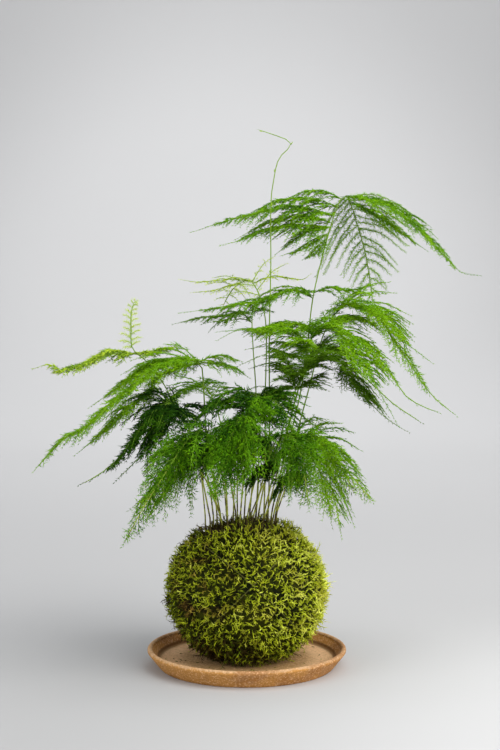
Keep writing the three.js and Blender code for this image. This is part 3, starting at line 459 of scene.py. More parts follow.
            [0.4, [[38, -10, 178], [48, -8, 187], [60, -6, 186]]],
        ],
    ),
    entry(
        "frond_right_back", "dark", pairs=7, reach=36, side=[0.5, 1, 0.2],
        stem=[
            [22, 12, 111], [32, 22, 137], [41, 32, 155], [51, 41, 161], [64, 50, 155], [76, 58, 140],
            [86, 62, 120],
        ],
    ),
    entry(
        "frond_centre_top", "bright", leaf_from=0.4, pairs=8, reach=42, spread=55, side=[0.8, 0.5, 0.3],
        fullness=1.5, sag=1.5, twigs=1.2, light=-0.12, bold=1.3,
        stem=[
            [-2, -6, 111], [0, -10, 141], [2, -14, 171], [5, -20, 194], [11, -27, 203], [18, -38, 203],
            [27, -48, 196], [34, -56, 185],
        ],
        arms=[
            [0.42, [[-6, -20, 204], [-23, -26, 199], [-37, -30, 188], [-50, -34, 178]]],
        ],
        sprays=[
            [0.42, [[-2, -24, 210], [-14, -30, 208], [-28, -36, 198], [-40, -40, 184]]],
            [0.48, [[14, -20, 210], [24, -24, 208], [36, -28, 198]]],
            [0.36, [[6, -12, 184], [16, -16, 188], [27, -20, 182]]],
            [0.4, [[-8, -10, 198], [-22, -12, 201], [-36, -16, 192]]],
            [0.4, [[14, -14, 190], [26, -14, 196], [38, -16, 192], [50, -20, 182]]],
        ],
    ),
    entry(
        "frond_back_centre", "dark", leaf_from=0.42, pairs=7, spread=58, side=[1, 0, 0],
        stem=[
            [7, 14, 111], [9, 24, 144], [10, 40, 174], [12, 56, 192], [11, 74, 199], [8, 92, 194],
            [5, 106, 182],
        ],
    ),
    entry(
        "frond_back_left", "bright", leaf_from=0.42, pairs=8, side=[0.5, 0.8, 0.1],
        stem=[
            [-8, 14, 111], [-14, 24, 144], [-19, 36, 174], [-26, 50, 196], [-34, 64, 206], [-45, 78, 203],
            [-57, 90, 195], [-69, 100, 181],
        ],
    ),
    entry(
        "frond_back_right", "bright", leaf_from=0.46, pairs=8, side=[-0.3, 0.9, 0.1],
        stem=[
            [15, 15, 111], [24, 26, 144], [33, 38, 178], [41, 51, 208], [48, 66, 228], [60, 80, 235],
            [75, 92, 232], [91, 102, 220],
        ],
    ),
    entry(
        "frond_left_low", "bright", pairs=7, reach=30, side=[0.3, 1, 0.3],
        stem=[
            [-18, -12, 111], [-24, -19, 130], [-31, -27, 146], [-39, -33, 155], [-48, -38, 152],
            [-56, -42, 141], [-65, -46, 129], [-72, -48, 117],
        ],
    ),
    entry(
        "frond_back_low_left", "dark", leaf_from=0.4, pairs=7, reach=34, spread=54, side=[0.6, 0.6, 0.2],
        stem=[
            [-20, 12, 111], [-31, 24, 136], [-42, 38, 152], [-55, 52, 158], [-69, 64, 150],
            [-82, 74, 134],
        ],
    ),
    entry(
        "frond_back_low_right", "bright", leaf_from=0.4, pairs=7, reach=34, spread=54,
        side=[0.9, -0.4, 0.2],
        stem=[
            [3, 18, 111], [14, 34, 134], [24, 52, 148], [34, 70, 152], [42, 86, 144], [49, 100, 128],
        ],
    ),
]

# Short inner shoots that fill the middle of the plant, painted in shade: dark green, their tint lowered
INNER_STEMS = [
    [[-31, 2, 111], [-34, 6, 139], [-38, 11, 158], [-45, 17, 168]],
    [[-22, -4, 111], [-24, -11, 141], [-25, -20, 165], [-30, -28, 173]],
    [[-10, -8, 111], [-9, -13, 142], [-8, -20, 163], [-12, -30, 172]],
    [[-7, 6, 111], [-7, 14, 146], [-4, 24, 175], [1, 34, 186]],
    [[0, -12, 111], [4, -19, 133], [9, -27, 150], [15, -35, 157]],
    [[7, 4, 111], [9, 8, 139], [9, 16, 161], [11, 26, 170]],
    [[12, -12, 111], [20, -18, 131], [28, -25, 145], [36, -32, 149]],
    [[-15, 7, 111], [-18, 16, 138], [-24, 27, 156], [-31, 38, 162]],
]
SHOOTS += [
    entry(
        f"inner_shoot_{number}", "dark", leaf_from=0.5, pairs=4, reach=26, spread=55, side=[0.7, 0.7, 0.2],
        fullness=3.2, sag=3, twigs=1.35, level=0, light=-0.2, bold=1.5, stem=stem,
    )
    for number, stem in enumerate(INNER_STEMS, 1)
]


# Sizes and colours that a user would change


def number_setting(name, description, default, **kind):
    return FloatProperty(name=name, description=description, default=default, min=0, **kind)


def length_setting(name, description, default):
    return number_setting(name, description, default, subtype="DISTANCE", unit="LENGTH")


def power_setting(name, description, default):
    return number_setting(name, description, default, unit="POWER")


def colour_setting(name, description, default):
    return FloatVectorProperty(
        name=name, description=description, default=default, min=0, max=1, size=3, subtype="COLOR",
    )


class SaucerSettings(bpy.types.PropertyGroup):
    radius: length_setting("Radius", "Outside radius of the saucer's lip", SAUCER_TOP.x)
    height: length_setting("Height", "Height of the lip over the table", SAUCER_TOP.z)
    floor: length_setting("Floor", "Height of the floor that the ball rests on", 0.005)
    lip: length_setting("Lip", "Radius of the rolled lip", 0.0019)
    clay: colour_setting("Clay", "Colour of the fired clay", (0.50, 0.235, 0.058))
    # Worn and lit clay: paler on the lip and the well's floor, partly wear and partly painted highlight
    worn: colour_setting("Worn clay", "Paler colour of the lip and the floor", (0.56, 0.35, 0.185))
    burnt: colour_setting("Burnt clay", "Redder colour where the fire caught it", (0.30, 0.115, 0.028))
    # Clay round the foot of the moss, under the ball, made darker
    darker_round_foot: colour_setting("Stain", "Colour of the clay that the moss keeps damp", (0.27, 0.155, 0.035))


class BallSettings(bpy.types.PropertyGroup):
    strands: IntProperty(
        name="Strands", description="Number of moss strands on the ball", default=6450, min=0,
    )
    strand_length: length_setting("Strand length", "Length of an average moss strand", 0.0060)
    strand_radius: length_setting("Strand radius", "Half thickness of a moss strand", 0.00037)
    thread_radius: length_setting("Thread radius", "Half thickness of one ply of thread", 0.0003)
    # The deepest moss colour: partly old moss at the roots of the strands, partly painted shade in the gaps
    moss_old: colour_setting("Old moss", "Colour of the strands in the gaps", (0.045, 0.032, 0.006))
    moss_dry: colour_setting("Dry moss", "Colour of the patches that have dried", (0.17, 0.085, 0.02))
    moss_shade: colour_setting("Shaded moss", "Colour of the strands below", (0.070, 0.112, 0.004))
    moss_fresh: colour_setting("Fresh moss", "Colour of the strands on top", (0.53, 0.61, 0.022))
    moss_tip: colour_setting("Moss tips", "Colour of the palest tips", (0.88, 0.95, 0.14))
    soil: colour_setting("Soil", "Colour of the damp soil", (0.030, 0.018, 0.010))
    thread: colour_setting("Thread", "Colour of the binding thread", (0.10, 0.10, 0.02))


class ShootSettings(bpy.types.PropertyGroup):
    needle_length: length_setting("Needle length", "Length of an average needle", 0.0047)
    needle_radius: length_setting("Needle radius", "Half thickness of a needle at its root", 0.00030)
    arm_spacing: length_setting("Arm side shoots", "Room between the side shoots of an arm", 0.0048)
    arm_reach: number_setting("Arm reach", "Longest side shoot of an arm, as a share of the arm", 0.42)
    cluster_spacing: length_setting("Clusters", "Room between clusters on a twig", 0.0023)
    cluster_size: IntProperty(
        name="Cluster size", description="Needles in a cluster", default=3, min=1,
    )
    twig_spacing: length_setting("Twigs", "Room between twigs along a line", 0.0028)
    twig_length: length_setting("Twig length", "Length of the longest twigs", 0.0080)
    stem_radius: length_setting("Stem radius", "Half thickness of a stem at the soil", 0.00062)
    tip_radius: length_setting("Tip radius", "Half thickness of a stem at its tip", 0.00032)
    pairs_factor: number_setting("Pairs", "Pairs of side shoots, as a multiple of the list's", 1.5)
    bright: colour_setting("Bright green", "Leaf colour of the bright fronds", (0.135, 0.325, 0.003))
    # The dark green is a shaded copy of the bright leaf colour: painted shade, for fronds that lie in
    # shade, most at the back and inside the plant
    dark: colour_setting("Dark green", "Leaf colour of the dark fronds", (0.045, 0.130, 0.0015))
    young: colour_setting("Young green", "Leaf colour of the young fronds", (0.40, 0.56, 0.035))
    stem: colour_setting("Stem", "Colour of a stem among the leaves", (0.20, 0.34, 0.03))
    stem_low: colour_setting("Lower stem", "Colour of a stem over the soil", (0.44, 0.48, 0.08))
    stem_foot: colour_setting("Stem foot", "Colour of a stem at the soil", (0.10, 0.075, 0.025))


class StageSettings(bpy.types.PropertyGroup):
    distance: length_setting("Distance", "From the camera to the plant", 1.1)
    height: length_setting("Eye height", "Height of the camera over the table", 0.288)
    pitch: FloatProperty(
        name="Pitch", description="How far the camera looks down", default=math.radians(3.6),
        subtype="ANGLE", unit="ROTATION",
    )
    lens: FloatProperty(
        name="Lens", description="Focal length on a 36 mm sensor", default=70.9, min=1, unit="CAMERA",
    )
    backdrop: colour_setting("Backdrop", "Colour of the floor and the backdrop", (0.475, 0.475, 0.478))
    key_power: power_setting("Key light", "Power of the light at the upper right", 34)
    fill_power: power_setting("Fill light", "Power of the light at the left", 10.5)
    top_power: power_setting("Top light", "Power of the light overhead", 8)
    wall_power: power_setting("Wall light", "Power of the light on the wall", 12.5)
    sky: number_setting("Sky", "Strength of the even light", 0.48)


# Curves and surfaces as arrays


def unit(vectors):
    """Each vector divided by its own length."""
    return vectors / np.maximum(np.linalg.norm(vectors, axis=-1, keepdims=True), 1e-12)


def square_to(guides, ways):
    """The part of each guide that stands square to its way, at length one."""
    return unit(guides - (guides * ways).sum(-1, keepdims=True) * ways)


def any_square(ways, draw):
    """A random unit vector square to each way."""
    return square_to(draw.normal(size=ways.shape), ways)


def lean_off(ways, aside, angles):
    """Each way turned towards aside by its angle: cosine of the one and sine of the other."""
    return np.cos(angles) * ways + np.sin(angles) * aside


def around(count):
    """Angles of equal steps round a circle."""
    return np.arange(count) * TAU / count


def round_axis(radius, azimuth, height):
    """Places at these radii from the upright axis, azimuths round it and heights along it."""
    x, y = radius * np.cos(azimuth), radius * np.sin(azimuth)
    return np.stack([x, y, np.broadcast_to(height, x.shape)], axis=-1)


def sphere_ways(polar, azimuth):
    """Unit directions at angles down from straight up and round it."""
    return round_axis(np.sin(polar), azimuth, np.cos(polar))


def spline(points, shares):
    """Uniform Catmull-Rom curve: cubic from each point to the next, with half the step between its
    neighbours as the slope at a point. Shares count along the list of points."""
    points = np.asarray(points, float)
    last = points.shape[-2] - 1
    before = 2 * points[..., :1, :] - points[..., 1:2, :]
    after = 2 * points[..., -1:, :] - points[..., -2:-1, :]
    padded = np.concatenate([before, points, after], axis=-2)
    place = np.clip(shares, 0, 1) * last
    index = np.minimum(place.astype(int), last - 1)
    part = (place - index)[:, None]
    a, b, c, d = (padded[..., index + step, :] for step in range(4))
    start, end = (c - a) / 2, (d - b) / 2
    cubic = 2 * b - 2 * c + start + end
    square = 3 * c - 3 * b - 2 * start - end
    return ((cubic * part + square) * part + start) * part + b


def even_places(places, count=LINE_STEPS):
    """Count places evenly spaced by length along a line of close places, and its length."""
    run = np.append(0, np.cumsum(np.linalg.norm(np.diff(places, axis=0), axis=1)))
    wanted = np.linspace(0, run[-1], count)
    return np.stack([np.interp(wanted, run, places[:, axis]) for axis in range(3)], axis=1), run[-1]


def along(lines, owners, shares):
    """Places and ways at shares of the lines that owners number, straight between a line's places."""
    steps = lines.shape[1] - 1
    place = np.clip(shares, 0, 1) * steps
    index = np.minimum(place.astype(int), steps - 1)
    near, far = lines[owners, index], lines[owners, index + 1]
    return near + (place - index)[:, None] * (far - near), unit(far - near)


def spread_out(counts):
    """For counts of things on each owner, each thing's owner and its number there."""
    owners = np.repeat(np.arange(len(counts)), counts)
    return owners, np.arange(len(owners)) - np.repeat(np.cumsum(counts) - counts, counts)


def by_turns(numbers):
    """1 for odd numbers and -1 for even ones, as a column."""
    return np.where(numbers % 2, 1, -1)[:, None]


def tubes(places, radii, guides, sides):
    """Closed tubes, one a line: round each place but the last a ring of corners at the radius there,
    square to the line's way, then one corner at the last place. Places are lines x places x 3, radii
    lines x places, and guides, which turn the rings, lines x 3. Returns corners and triangles."""
    lines, count = places.shape[:2]
    ways = unit(np.gradient(places, axis=1))[:, :-1]
    outward = square_to(guides[:, None], ways)
    aside = np.cross(ways, outward)
    turned = lean_off(outward[:, :, None], aside[:, :, None], around(sides)[:, None])
    rings = places[:, :-1, None] + radii[:, :-1, None, None] * turned
    corners = np.concatenate([rings.reshape(lines, -1, 3), places[:, -1:]], axis=1)
    side, after = np.arange(sides), (np.arange(sides) + 1) % sides
    foot = np.arange(count - 2)[:, None] * sides
    lower, next_lower = foot + side, foot + after
    last = (count - 2) * sides
    fan = side[1:-1]
    triangles = np.concatenate([
        np.stack([lower, next_lower, next_lower + sides], axis=-1).reshape(-1, 3),
        np.stack([lower, next_lower + sides, lower + sides], axis=-1).reshape(-1, 3),
        np.stack([last + side, last + after, np.full(sides, last + sides)], axis=-1),
        np.stack([np.zeros_like(fan), fan + 1, fan], axis=-1),
    ])
    each = np.arange(lines)[:, None, None] * corners.shape[1]
    return corners.reshape(-1, 3), (each + triangles).reshape(-1, 3)


def on_corners(values, sides):
    """Values of lines x places, as one value a corner of the tubes on those lines."""
    return np.concatenate([np.repeat(values[:, :-1], sides, axis=1), values[:, -1:]], axis=1).ravel()


def skin(rings, first, last):
    """A closed surface over rings of corners, rings x corners x 3, with a pole at each end. Rings run
    so that one ring's corners turn against the clock seen from where the rings come from."""
    count, corners_each = rings.shape[:2]
    corners = np.concatenate([rings.reshape(-1, 3), [first, last]])
    side, after = np.arange(corners_each), (np.arange(corners_each) + 1) % corners_each
    foot = np.arange(count - 1)[:, None] * corners_each
    upper = foot + corners_each
    quads = np.stack([foot + side, upper + side, upper + after, foot + after], axis=-1)
    top, pole = (count - 1) * corners_each, count * corners_each
    caps = np.concatenate([
        np.stack([np.full(corners_each, pole), side, after], axis=-1),
        np.stack([np.full(corners_each, pole + 1), top + after, top + side], axis=-1),
    ])
    return corners, [quads.reshape(-1, 4), caps]


def waves(places, size, seed):
    """A rough pattern: the sum of sines along seeded directions, each about size long, scaled to
    about one at its highest."""
    draw = np.random.default_rng(seed)
    ways = unit(draw.normal(size=(WAVES, 3))) * (TAU / size) * draw.uniform(*WAVE_SIZES, (WAVES, 1))
    return np.sin(places @ ways.T + draw.uniform(0, TAU, WAVES)).sum(-1) / math.sqrt(WAVES) / WAVES_PEAK


def patterns(places, parts):
    """The sum of rough patterns, each given as how high it is, how large its waves are, and a seed."""
    return sum(height * waves(places, size, seed) for height, size, seed in parts)


def eased(values, low, high):
    """0 below low, 1 above high, and smooth between them."""
    share = np.clip((values - low) / (high - low), 0, 1)
    return share * share * (3 - 2 * share)


class Pile:
    """Tubes gathered into one mesh, with two values a corner: tint, from deep to pale, and wood, 1 on
    a stem and 0 on a leaf."""

    def __init__(self):
        self.corners, self.triangles, self.tints, self.woods = [], [], [], []
        self.count = 0

    def add_tubes(self, places, radii, guides, sides, tints, wood=0.0):
        radii, tints = np.broadcast_to(radii, places.shape[:2]), np.broadcast_to(tints, places.shape[:2])
        corners, triangles = tubes(places, radii, guides, sides)
        self.corners.append(corners)
        self.triangles.append(triangles + self.count)
        self.tints.append(on_corners(tints, sides))
        self.woods.append(np.full(len(corners), wood))
        self.count += len(corners)

    def mesh(self, name):
        values = {"tint": np.concatenate(self.tints), "wood": np.concatenate(self.woods)}
        return make_mesh(name, np.concatenate(self.corners), [np.concatenate(self.triangles)], values)


def make_mesh(name, corners, faces, values):
    """A smooth mesh from corners, arrays of faces with one row a face, and named values a corner."""
    mesh = bpy.data.meshes.new(name)
    mesh.vertices.add(len(corners))
    mesh.vertices.foreach_set("co", corners.astype(np.float32).ravel())
    sizes = np.concatenate([np.full(len(rows), rows.shape[1]) for rows in faces])
    loops = np.concatenate([rows.ravel() for rows in faces])
    mesh.loops.add(len(loops))
    mesh.loops.foreach_set("vertex_index", loops.astype(np.int32))
    mesh.polygons.add(len(sizes))
    mesh.polygons.foreach_set("loop_start", (np.cumsum(sizes) - sizes).astype(np.int32))
    for label, held in values.items():
        mesh.attributes.new(label, "FLOAT", "POINT").data.foreach_set("value", held.astype(np.float32))
    mesh.update(calc_edges=True)
    mesh.shade_smooth()
    return mesh


def place_piece(mesh, finish, slot, *nodes):
    """Puts a mesh into the scene as a piece that rides on the body, in the place of CAD nodes."""
    piece = bpy.data.objects.new(mesh.name, mesh)
    bpy.context.scene.collection.objects.link(piece)
    mesh.materials.append(finish)
    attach(piece, BODY)
    if nodes:
        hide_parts(*nodes)


# Finishes


class Finish:
    """A material made of nodes that read Object coordinates and the piece's own values."""

    # The sockets of a mix node for colours, which share their names with its other sockets
    MIX_FIRST, MIX_SECOND, MIX_RESULT = 6, 7, 2

    def __init__(self, name, roughness, gloss=0.3):
        self.material = bpy.data.materials.new(name)
        self.material.use_nodes = True
        self.tree = self.material.node_tree
        self.surface = self.tree.nodes["Principled BSDF"]
        self.surface.inputs["Roughness"].default_value = roughness
        self.surface.inputs["Specular IOR Level"].default_value = gloss
        self.places = self.add("ShaderNodeTexCoord", "Object", {})

    def fill(self, socket, value):
        """Links an output to a socket, or sets the socket to a value."""
        if isinstance(value, bpy.types.NodeSocket):
            self.tree.links.new(value, socket)
        else:
            socket.default_value = value

    def add(self, kind, output, inputs, **settings):
        """Adds a node with these settings and inputs, and returns one of its outputs."""
        made = self.tree.nodes.new(kind)
        for label, value in settings.items():
            setattr(made, label, value)
        for label, value in inputs.items():
            self.fill(made.inputs[label], value)
        return made.outputs[output]

    def value(self, name):
        return self.add("ShaderNodeAttribute", "Fac", {}, attribute_name=name)

    def axis(self, name):
        return self.add("ShaderNodeSeparateXYZ", name, {0: self.places})

    def distance(self, place):
        """How far the surface is from a place."""
        return self.add("ShaderNodeVectorMath", "Value", {0: self.places, 1: place}, operation="DISTANCE")

    def noise(self, size, detail=3.0):
        """Smooth noise whose lumps are about size wide, around 0.5."""
        inputs = {"Vector": self.places, "Scale": 1 / size, "Detail": detail}
        return self.add("ShaderNodeTexNoise", "Fac", inputs)

    def cells(self, size):
        """Distance to the nearest of many points that lie about size apart."""
        return self.add("ShaderNodeTexVoronoi", "Distance", {"Vector": self.places, "Scale": 1 / size})

    def maths(self, operation, *values):
        return self.add("ShaderNodeMath", 0, dict(enumerate(values)), operation=operation)

    def total(self, first, *others):
        """The sum of several values."""
        for other in others:
            first = self.maths("ADD", first, other)
        return first

    def ease(self, value, low, high, to_low=0.0, to_high=1.0):
        """Value between low and high, mapped smoothly on to the two new ends."""
        inputs = {"Value": value, "From Min": low, "From Max": high, "To Min": to_low, "To Max": to_high}
        return self.add("ShaderNodeMapRange", "Result", inputs, interpolation_type="SMOOTHSTEP")

    def swing(self, noise, by, edge=0.3):
        """Noise as a value from minus by to by, smooth between the edge and as far from one."""
        return self.ease(noise, edge, 1 - edge, -by, by)

    def blend(self, share, first, second):
        """The first colour where share is 0 and the second where it is 1."""
        inputs = {"Factor": share, self.MIX_FIRST: first, self.MIX_SECOND: second}
        return self.add("ShaderNodeMix", self.MIX_RESULT, inputs, data_type="RGBA")

    def coats(self, colour, *layers):
        """A colour with layers over it in turn, each a share and a colour."""
        for share, coat in layers:
            colour = self.blend(share, colour, coat)
        return colour

    def ramp(self, share, *colours):
        """Colours evenly spaced from share 0 to share 1."""
        made = self.tree.nodes.new("ShaderNodeValToRGB")
        stops = made.color_ramp.elements
        while len(stops) < len(colours):
            stops.new(0.5)
        for number, colour in enumerate(colours):
            stops[number].position = number / (len(colours) - 1)
            stops[number].color = colour
        self.fill(made.inputs["Fac"], share)
        return made.outputs["Color"]

    def finished(self, colour, roughness=None, bumps=None):
        """The material in a colour, with its roughness where that isn't even, and with bumps where
        they are given, as a height, how deep they are, and how strong."""
        inputs = self.surface.inputs
        self.fill(inputs["Base Color"], colour)
        if roughness is not None:
            self.fill(inputs["Roughness"], roughness)
        if bumps is not None:
            heights = dict(zip(("Height", "Distance", "Strength"), bumps))
            self.fill(inputs["Normal"], self.add("ShaderNodeBump", "Normal", heights))
        return self.material


def solid(colour, factor=1.0):
    """A colour setting as a socket's four numbers, made lighter or darker by a factor."""
    return tuple(min(1.0, channel * factor) for channel in colour) + (1.0,)


def clay_finish(settings):
    """Unglazed clay: warm outside, paler on the lip and more in the well as wear and painted highlight,
    sandy specks, pores, painted shade in the crease, and darker clay round the foot of the moss."""
    finish = Finish("unglazed_clay", roughness=0.85, gloss=0.2)
    blotches, mottle, sand = finish.noise(0.022, 4), finish.noise(0.0045, 4), finish.noise(0.0014, 3)
    worn, pale_grit_and_highlight = finish.value("worn"), solid(settings.worn, 1.45)
    paler = finish.total(
        worn, finish.ease(blotches, 0.35, 0.65, -0.3, 0.35), finish.swing(mottle, 0.25, 0.35),
    )
    from_seat = finish.distance((0, 0, SEAT))
    colour = finish.coats(
        solid(settings.clay),
        # Paler on the lip and in the well, partly wear and partly painted highlight, with blotches and
        # mottle
        (finish.ease(paler, 0.0, 1.0), solid(settings.worn)),
        (finish.ease(blotches, 0.46, 0.62, 0.0, 0.62), solid(settings.burnt)),
        # Painted highlight: the floor of the well paler still
        (finish.ease(worn, 1.0, WELL_HIGHLIGHT, 0.0, 0.7), pale_grit_and_highlight),
        # Darker round the foot of the moss, under the ball
        (finish.ease(from_seat, 0.042, 0.056, 0.6, 0.0), solid(settings.darker_round_foot)),
        (finish.ease(sand, 0.52, 0.68, 0.0, 0.6), pale_grit_and_highlight),
        (finish.ease(sand, 0.48, 0.34, 0.0, 0.4), solid(settings.clay, 0.5)),
        (finish.ease(finish.cells(0.0024), 0.16, 0.1, 0.0, 0.6), solid(settings.clay, 0.42)),
        # Painted shade: the crease where the wall meets the floor, darker
        (finish.value("crease"), solid(settings.clay, 0.4)),
    )
    pores = finish.maths("MULTIPLY_ADD", sand, 0.6, finish.ease(finish.cells(0.0015), 0.0, 0.3))
    return finish.finished(colour, finish.ease(blotches, 0.3, 0.7, 0.8, 0.95), (pores, 0.00025, 0.7))


def soil_finish(settings):
    """Damp soil: dark crumbs, darker still in the hollows between them as painted shade, with lighter grit.
    """
    finish = Finish("damp_soil", roughness=0.95, gloss=0.08)
    grains = finish.noise(0.0016, 4)
    grit = finish.ease(grains, 0.35, 0.75, 0.0, 0.5)
    tint = finish.maths("MULTIPLY_ADD", finish.value("tint"), 0.5, grit)
    colour = finish.ramp(tint, *(solid(settings.soil, factor) for factor in (0.6, 1.4, 3.2)))
    return finish.finished(colour, bumps=(grains, 0.0008, 0.8))


def moss_finish(settings, name, shade):
    """Moss: strands from dried brown over olive to yellow-green tips, in patches over the ball. The
    shade multiplies all of it: for the mat that lies under the strands it is painted shade."""
    finish = Finish(name, roughness=0.75, gloss=0.08)
    patches = finish.swing(finish.noise(0.03, 3), PATCHES)
    flecks = finish.swing(finish.noise(0.0035, 2), PATCHES)
    tint = finish.total(finish.value("tint"), patches, flecks)
    green = finish.ramp(
        tint, solid(settings.moss_old, shade), solid(settings.moss_shade, shade),
        solid(settings.moss_fresh, 0.75 * shade), solid(settings.moss_fresh, shade),
        solid(settings.moss_tip, shade),
    )
    brown = finish.ramp(tint, *(solid(settings.moss_dry, factor * shade) for factor in (0.2, 1, 2.2)))
    on_left = finish.ease(finish.axis("X"), -0.045, 0.01, 1.0, 0.3)
    dry = finish.maths("MULTIPLY", finish.ease(finish.noise(0.016, 4), 0.48, 0.62, 0.0, 0.9), on_left)
    rough = finish.ease(flecks, -PATCHES, PATCHES, 0.65, 0.85)
    return finish.finished(finish.blend(dry, green, brown), rough, (finish.noise(0.0006, 2), 0.0002, 0.5))


def thread_finish(settings):
    """Twisted thread, darker between its fibres as painted shade, where its bumps are low."""
    finish = Finish("waxed_thread", roughness=0.8)
    fibres = finish.noise(0.0005, 3)
    colour = finish.ramp(fibres, solid(settings.thread, 0.5), solid(settings.thread, 1.6))
    return finish.finished(colour, bumps=(fibres, 0.0001, 0.6))


def leaf_finish(settings, shade):
    """Needles and stems of one shade of green. Tint takes a needle from deep green, which stands for
    painted shade, to yellow-green, inner leaves are darker as painted shade, and the feet of the stems
    turn brown towards the soil."""
    finish = Finish(f"foliage_{shade}", roughness=0.5, gloss=0.06)
    red, green, blue = leaf = getattr(settings, shade)
    patches = finish.swing(finish.noise(0.02, 3), PATCHES)
    # Painted shade: leaves are darker near the deepest point inside the plant
    inner_shade = finish.ease(finish.distance(INNER_SHADE_MIDDLE), 0.025, 0.08, -0.34, 0.0)
    # The deepest colour of the ramp stands for painted shade
    deep_shade = (red * 0.08, green * 0.20, blue * 0.5)
    shady = (red * 0.55, green * 0.70, blue)
    tip = (red * 1.5 + green * 0.14, green * 1.5, blue * 2)
    leaves = finish.ramp(
        finish.total(finish.value("tint"), patches, inner_shade), solid(deep_shade), solid(shady), solid(leaf, 1.15),
        solid(tip),
    )
    from_soil = finish.total(finish.axis("Z"), finish.swing(finish.noise(0.004, 3), 0.012, 0.35))
    stems = finish.ramp(
        finish.ease(from_soil, SOIL_TOP.z - 0.004, SOIL_TOP.z + 0.05), solid(settings.stem_foot),
        solid(settings.stem_low), solid(settings.stem_low), solid(settings.stem),
    )
    colour = finish.blend(finish.value("wood"), leaves, stems)
    rough = finish.ease(patches, -PATCHES, PATCHES, 0.42, 0.6)
    return finish.finished(colour, rough, (finish.noise(0.0008, 2), 0.0001, 0.4))


def board_finish(settings):
    """Smooth board with painted light and shade graduated over it: on the wall palest behind the middle
    of the plant, on the floor palest at the right of the plant and deeper away from it, as the lights
    would fall."""
    finish = Finish("painted_board", roughness=0.9)

    def lit_paint(factor):
        return solid(settings.backdrop, factor)

    # Painted light and shade on the floor: paler to the right of the plant, darker at its left and away
    # from it
    to_right, to_back = finish.ease(finish.axis("X"), -0.15, 0.2), finish.axis("Y")
    away = finish.ease(finish.distance((0, 0, 0)), 0.4, 1.0)
    near = finish.coats(lit_paint(0.90), (to_right, lit_paint(1.22)), (away, lit_paint(0.55)))
    far = finish.blend(to_right, lit_paint(1.04), lit_paint(1.03))
    # Painted light on the wall: palest behind the plant, darker away from there, and paler towards the back
    painted_wall_falloff = finish.ease(finish.distance(BOARD_PAINTED_LIGHT_MIDDLE), 0.36, 0.9)
    return finish.finished(finish.coats(
        near,
        (finish.ease(to_back, -0.05, 0.25), far),
        (finish.ease(to_back, 0.4, 1.6), lit_paint(1.24)),
        (finish.ease(finish.axis("Z"), 0.0, 0.25), finish.blend(painted_wall_falloff, lit_paint(1.2), lit_paint(0.98))),
    ))


# Saucer


def saucer_profile(settings):
    """Half section of the saucer, from the middle of its foot out, up the wall, over the lip's arc,
    down into the well and back over the floor to the middle."""
    lip_x, lip_z = settings.radius - settings.lip, settings.height - settings.lip
    arc = np.linspace(LIP_FROM, math.pi, LIP_STEPS)
    lip = np.stack([lip_x + settings.lip * np.cos(arc), lip_z + settings.lip * np.sin(arc)], axis=1)
    turn = np.linspace(0, math.pi / 2, CORNER_STEPS)
    corner = np.stack([
        SAUCER_WELL - SAUCER_CORNER * (1 - np.cos(turn)),
        settings.floor + SAUCER_CORNER * (1 - np.sin(turn)),
    ], axis=1)
    return np.concatenate([
        np.linspace((0, 0), (SAUCER_FOOT - SAUCER_CHAMFER, 0), FOOT_STEPS),
        np.linspace((SAUCER_FOOT, SAUCER_CHAMFER), lip[0], WALL_STEPS, endpoint=False),
        lip,
        np.linspace(lip[-1], corner[0], WALL_STEPS, endpoint=False)[1:],
        corner,
        np.linspace(corner[-1], (0, settings.floor), FLOOR_STEPS)[1:],
    ])


def saucer_wear_and_shading(corners, settings):
    """Wear and painted highlight, 1 on the lip and more in the well, and painted shade in the crease, where
    the wall meets the floor.
    """
    out, above = np.hypot(corners[:, 0], corners[:, 1]), corners[:, 2] - settings.floor
    on_lip = eased(corners[:, 2], *(settings.height - np.array(LIP_WEAR_AND_HIGHLIGHT)))
    on_floor = above > -EDGE / 2
    in_well = on_floor * (1 - eased(out, SAUCER_WELL - EDGE, SAUCER_WELL + EDGE))
    # Painted shade in the crease at the foot of the wall, on the floor
    foot_of_wall = eased(out, *(SAUCER_WELL - np.array(CREASE_SHADE_IN))) * (above < CREASE_SHADE_HIGH)
    crease = CREASE_SHADE_DEPTH * foot_of_wall * on_floor * (out < SAUCER_WELL + EDGE / 2)
    return {"worn": np.maximum(on_lip, WELL_HIGHLIGHT * in_well), "crease": crease}


def throw_saucer(settings):
    """The profile carried round the axis. Fine rings from turning run over the floor, and the wall
    wavers a little round the axis."""
    profile = saucer_profile(settings)
    radius, height = profile[1:-1, 0, None], profile[1:-1, 1, None]
    azimuth = around(SAUCER_AROUND)
    inside = (np.arange(len(profile) - 2) >= FOOT_STEPS + WALL_STEPS + LIP_STEPS)[:, None]
    on_floor = inside * eased(radius, *TURNING_IN) * (1 - eased(radius, *TURNING_OUT))
    sway = TURNING_SWAY * np.sin(2 * azimuth)
    rings = on_floor * TURNING_DEPTH * np.sin(TAU * radius / TURNING_PITCH + sway)
    waver = 1 + WAVER * eased(height, *WAVER_IN) * np.sin(WAVER_LOBES * azimuth + WAVER_TURN)
    rows = round_axis(radius * waver, azimuth, height + rings)
    corners, faces = skin(rows, (0, 0, 0), (0, 0, settings.floor))
    return make_mesh("clay_saucer", corners, faces, saucer_wear_and_shading(corners, settings))


# Soil, moss and thread


